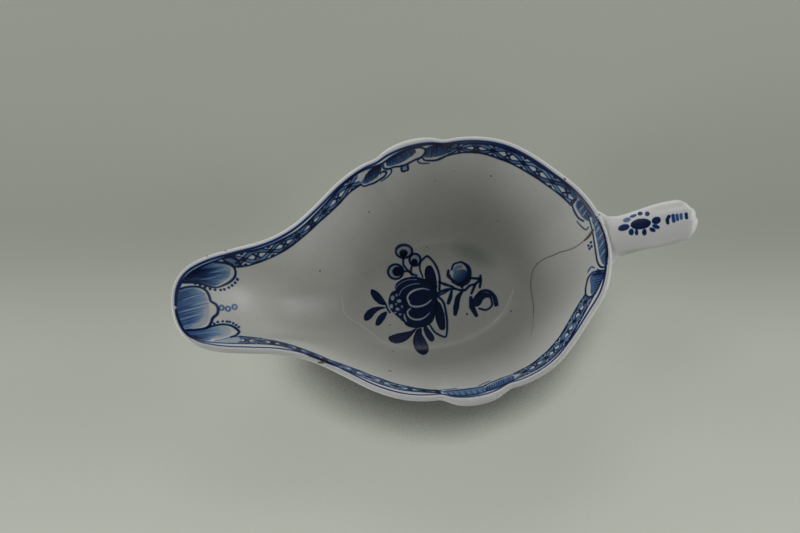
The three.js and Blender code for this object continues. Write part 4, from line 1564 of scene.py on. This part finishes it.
def glaze_material(surface):
    """Lead glaze over soft-paste porcelain with painted cobalt under it: a soft, slightly wavy gloss."""
    material = bpy.data.materials.new("lead_glaze_over_cobalt")
    material.use_nodes = True
    tree = material.node_tree
    shader = tree.nodes["Principled BSDF"]
    place = node(tree, "ShaderNodeTexCoord").outputs["Object"]
    cobalt = node(tree, "ShaderNodeAttribute", {"attribute_name": "cobalt"}).outputs["Fac"]
    share = node(tree, "ShaderNodeMath", {"operation": "DIVIDE"}, i0=cobalt, i1=DARKEST).outputs[0]
    ramp = node(tree, "ShaderNodeValToRGB", Fac=share)
    ramp.color_ramp.elements[0].color = linear(COBALT_STOPS[0][1])
    ramp.color_ramp.elements[1].color = linear(COBALT_STOPS[-1][1])
    for at, colour in COBALT_STOPS[1:-1]:
        ramp.color_ramp.elements.new(at).color = linear(colour)
    ground = glaze_colour(tree, place, surface)
    painted = node(tree, "ShaderNodeMix", MULTIPLY, i0=1.0, i6=ground, i7=ramp.outputs[0]).outputs[2]
    stain = node(tree, "ShaderNodeAttribute", {"attribute_name": "stain"}).outputs["Fac"]
    worn = node(tree, "ShaderNodeMix", BLEND, i0=stain, i6=painted, i7=linear("#43331d")).outputs[2]
    height = node(tree, "ShaderNodeSeparateXYZ", Vector=place).outputs["Z"]
    glazed = node(tree, "ShaderNodeMapRange", Value=height, From_Min=BARE_TO, From_Max=GLAZED_FROM).outputs[0]
    colour = node(tree, "ShaderNodeMix", BLEND, i0=glazed, i6=linear("#cdbfa6"), i7=worn)
    tree.links.new(colour.outputs[2], shader.inputs["Base Color"])
    wave = node(tree, "ShaderNodeTexNoise", Vector=place, Scale=scale_of(WAVE_SIZE), Detail=2.0).outputs[0]
    bump = node(tree, "ShaderNodeBump", Strength=0.06, Distance=MM, Height=wave)
    tree.links.new(bump.outputs[0], shader.inputs["Normal"])
    gloss = node(tree, "ShaderNodeMapRange", Value=wave, To_Min=0.24, To_Max=0.38)
    tree.links.new(gloss.outputs[0], shader.inputs["Roughness"])
    shader.inputs["IOR"].default_value = 1.52
    shader.inputs["Specular IOR Level"].default_value = 0.3
    return material


def speck_material(name, dark, pale, roughness):
    """Grit in the glaze, uneven in colour: iron specks near black, rust and bare biscuit brown."""
    material = bpy.data.materials.new(name)
    material.use_nodes = True
    tree = material.node_tree
    shader = tree.nodes["Principled BSDF"]
    place = node(tree, "ShaderNodeTexCoord").outputs["Object"]
    grain = node(tree, "ShaderNodeTexNoise", Vector=place, Scale=scale_of(GRIT_SIZE), Detail=2.0).outputs[0]
    colour = node(tree, "ShaderNodeMix", BLEND, i0=grain, i6=linear(dark), i7=linear(pale))
    tree.links.new(colour.outputs[2], shader.inputs["Base Color"])
    shader.inputs["Roughness"].default_value = roughness
    return material


def floor_material():
    """Matt grey-green card with a faint grain, shade round the boat and a sheen only the camera sees."""
    material = bpy.data.materials.new("matt_card")
    material.use_nodes = True
    tree = material.node_tree
    shader = tree.nodes["Principled BSDF"]
    place = node(tree, "ShaderNodeTexCoord").outputs["Object"]
    scale = scale_of(CARD_GRAIN_SIZE)
    grain = node(tree, "ShaderNodeTexNoise", Vector=place, Scale=scale, Detail=3.0).outputs[0]
    card = node(tree, "ShaderNodeMix", BLEND, i0=grain, i6=linear("#abafa3"), i7=linear("#b3b7ab")).outputs[2]
    light = node(tree, "ShaderNodeCombineXYZ", i0=SHADE_WAY[0], i1=SHADE_WAY[1], i2=SHADE_WAY[2]).outputs[0]
    clear = node(
        tree, "ShaderNodeAmbientOcclusion", {"samples": SHADE_SAMPLES}, Distance=SHADE_REACH, Normal=light,
    ).outputs["AO"]
    shade = node(
        tree, "ShaderNodeMapRange", {"interpolation_type": "SMOOTHSTEP"}, Value=clear, From_Min=SHADE_FULL,
        From_Max=SHADE_CLEAR, To_Min=SHADE_LEFT, To_Max=1.0,
    ).outputs[0]
    shaded = node(tree, "ShaderNodeMix", MULTIPLY, i0=1.0, i6=card, i7=shade).outputs[2]
    tree.links.new(shaded, shader.inputs["Base Color"])
    shader.inputs["Roughness"].default_value = 0.9
    along = node(tree, "ShaderNodeVectorMath", {"operation": "DOT_PRODUCT"}, i0=place, i1=SHEEN_WAY)
    share = node(
        tree, "ShaderNodeMapRange", Value=along.outputs["Value"], From_Min=SHEEN_NEAR, From_Max=SHEEN_FAR,
    ).outputs[0]
    sheen = node(tree, "ShaderNodeValToRGB", Fac=share)
    sheen.color_ramp.interpolation = "EASE"
    sheen.color_ramp.elements[0].color = (SHEEN[0][1],) * 3 + (1.0,)
    sheen.color_ramp.elements[1].color = (SHEEN[-1][1],) * 3 + (1.0,)
    for at, strength in SHEEN[1:-1]:
        sheen.color_ramp.elements.new(at).color = (strength,) * 3 + (1.0,)
    seen = node(tree, "ShaderNodeLightPath").outputs["Is Camera Ray"]
    lit = node(tree, "ShaderNodeMath", {"operation": "MULTIPLY"}, i0=sheen.outputs[0], i1=shade).outputs[0]
    strength = node(tree, "ShaderNodeMath", {"operation": "MULTIPLY"}, i0=lit, i1=seen).outputs[0]
    shader.inputs["Emission Color"].default_value = linear("#f2f6ea")
    tree.links.new(strength, shader.inputs["Emission Strength"])
    return material


def make_stage():
    """The card that the boat stands on."""
    deselect_all()
    bpy.ops.mesh.primitive_plane_add(size=4, location=(0, 0, 0))
    floor = bpy.context.object
    floor.name = "floor"
    floor.data.materials.append(floor_material())


def add_lamp(name, side, height, power):
    """A long low soft box to one side, facing the boat. The camera doesn't see it."""
    data = bpy.data.lights.new(name, "AREA")
    data.shape = "RECTANGLE"
    data.size = LAMP_WIDTH
    data.size_y = LAMP_HEIGHT
    data.energy = power
    lamp = bpy.data.objects.new(name, data)
    bpy.context.collection.objects.link(lamp)
    place = Vector((math.cos(side) * math.cos(height), math.sin(side) * math.cos(height), math.sin(height)))
    place = place * LAMP_DISTANCE + LAMP_AIM
    lamp.location = place
    lamp.rotation_euler = (LAMP_AIM - place).to_track_quat("-Z", "Y").to_euler()
    lamp.visible_camera = False


def make_light():
    """Soft boxes round the boat. Little light comes from above, so the bowl darkens with depth."""
    for name, side, height, power in LAMPS:
        add_lamp(name, math.radians(side), math.radians(height), power)
    world = bpy.data.worlds.new("dim_studio")
    bpy.context.scene.world = world
    world.use_nodes = True
    tree = world.node_tree
    shown = node(tree, "ShaderNodeLightPath").outputs["Is Camera Ray"]
    strength = node(tree, "ShaderNodeMapRange", Value=shown, To_Min=WORLD_FILL, To_Max=WORLD_SHOWN).outputs[0]
    tree.links.new(strength, tree.nodes["Background"].inputs["Strength"])
    tree.nodes["Background"].inputs["Color"].default_value = linear("#dfe3da")


def make_camera():
    """The camera at the photograph's viewing angle."""
    right, up, back = view_axes()
    data = bpy.data.cameras.new("photograph")
    data.lens = VIEW_LENS
    data.sensor_width = SENSOR
    data.sensor_fit = "HORIZONTAL"
    data.clip_start = 0.01
    camera = bpy.data.objects.new("photograph", data)
    bpy.context.collection.objects.link(camera)
    place = VIEW_TARGET + back * VIEW_DISTANCE
    turn = Matrix((right, up, back)).transposed()
    camera.matrix_world = Matrix.Translation(place) @ turn.to_4x4()
    bpy.context.scene.camera = camera
    bpy.context.scene.view_settings.view_transform = "Standard"


HANDLE_NODES = ["handle", "handle_upper_luting", "handle_lower_luting"]
FOOT_NODES = ["foot_ring", "foot_luting"]

make_camera()
make_stage()
make_light()
bowl = make_bowl()
ware = Surface(bowl)
glaze = glaze_material(ware)
handle = make_joined(HANDLE_NODES, "glazed_handle", ware, HANDLE_VOXEL, NOWHERE)
foot = make_joined(FOOT_NODES, "glazed_foot", ware, FOOT_VOXEL, LUTING_TOP)
rim = RimChart(ware, COLUMN_STEP, ROW_STEP, CHART_TOP, CHART_DEPTH)
inside = Painting(ware, rim)
paint_spray(inside)
paint_spout(inside)
paint_border(inside)
paint_leaf_panels(inside)
wear = Painting(ware, rim)
wear_crack(wear)
rest = Painting(Surface(handle))
paint_sprig(rest)
# Painted highlight: the lip, the outside, the handle and the foot are drawn whiter than the greyer inside.
whiten_lip(bowl, ware, rim)
mark_white_and_lit(handle, np.ones(len(handle.data.vertices)))
mark_white_and_lit(foot, np.ones(len(foot.data.vertices)))
iron = speck_material("iron_speck", "#0c0a08", "#2a2118", 0.4)
rust = speck_material("rust_stained_grit", "#5a3a1c", "#7a5a34", 0.6)
biscuit = speck_material("bare_biscuit", "#5d4330", "#8d7560", 0.85)
details = [
    (make_border_sheet(inside, wear), "body_porcelain", glaze),
    (make_spout_sheet(inside), "body_porcelain", glaze),
    (make_plan_sheet("painted_spray", inside, FLOOR_CORNERS, "cobalt", 0.0), "body_porcelain", glaze),
    (make_plan_sheet("painted_sprig", rest, SPRIG_CORNERS, "cobalt", 1.0), "handle_porcelain", glaze),
    (make_crack_sheet(wear), "body_porcelain", glaze),
    (make_specks("kiln_specks", ware, KILN_SPECKS), "body_porcelain", iron),
    (make_specks("brown_specks", ware, BROWN_SPECKS), "body_porcelain", rust),
    (make_specks("lip_chips", ware, LIP_CHIPS), "body_porcelain", biscuit),
]
details += [(sheet, "body_porcelain", glaze) for sheet in make_pale_lines(ware)]
for piece, slot, material in details:
    piece.data.materials.append(material)
    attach(piece, "root")
for piece, nodes, slot in (
    (bowl, ["body"], "body_porcelain"),
    (handle, HANDLE_NODES, "handle_porcelain"),
    (foot, FOOT_NODES, "foot_porcelain"),
):
    piece.data.materials.append(glaze)
    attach(piece, "root")
    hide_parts(*nodes)
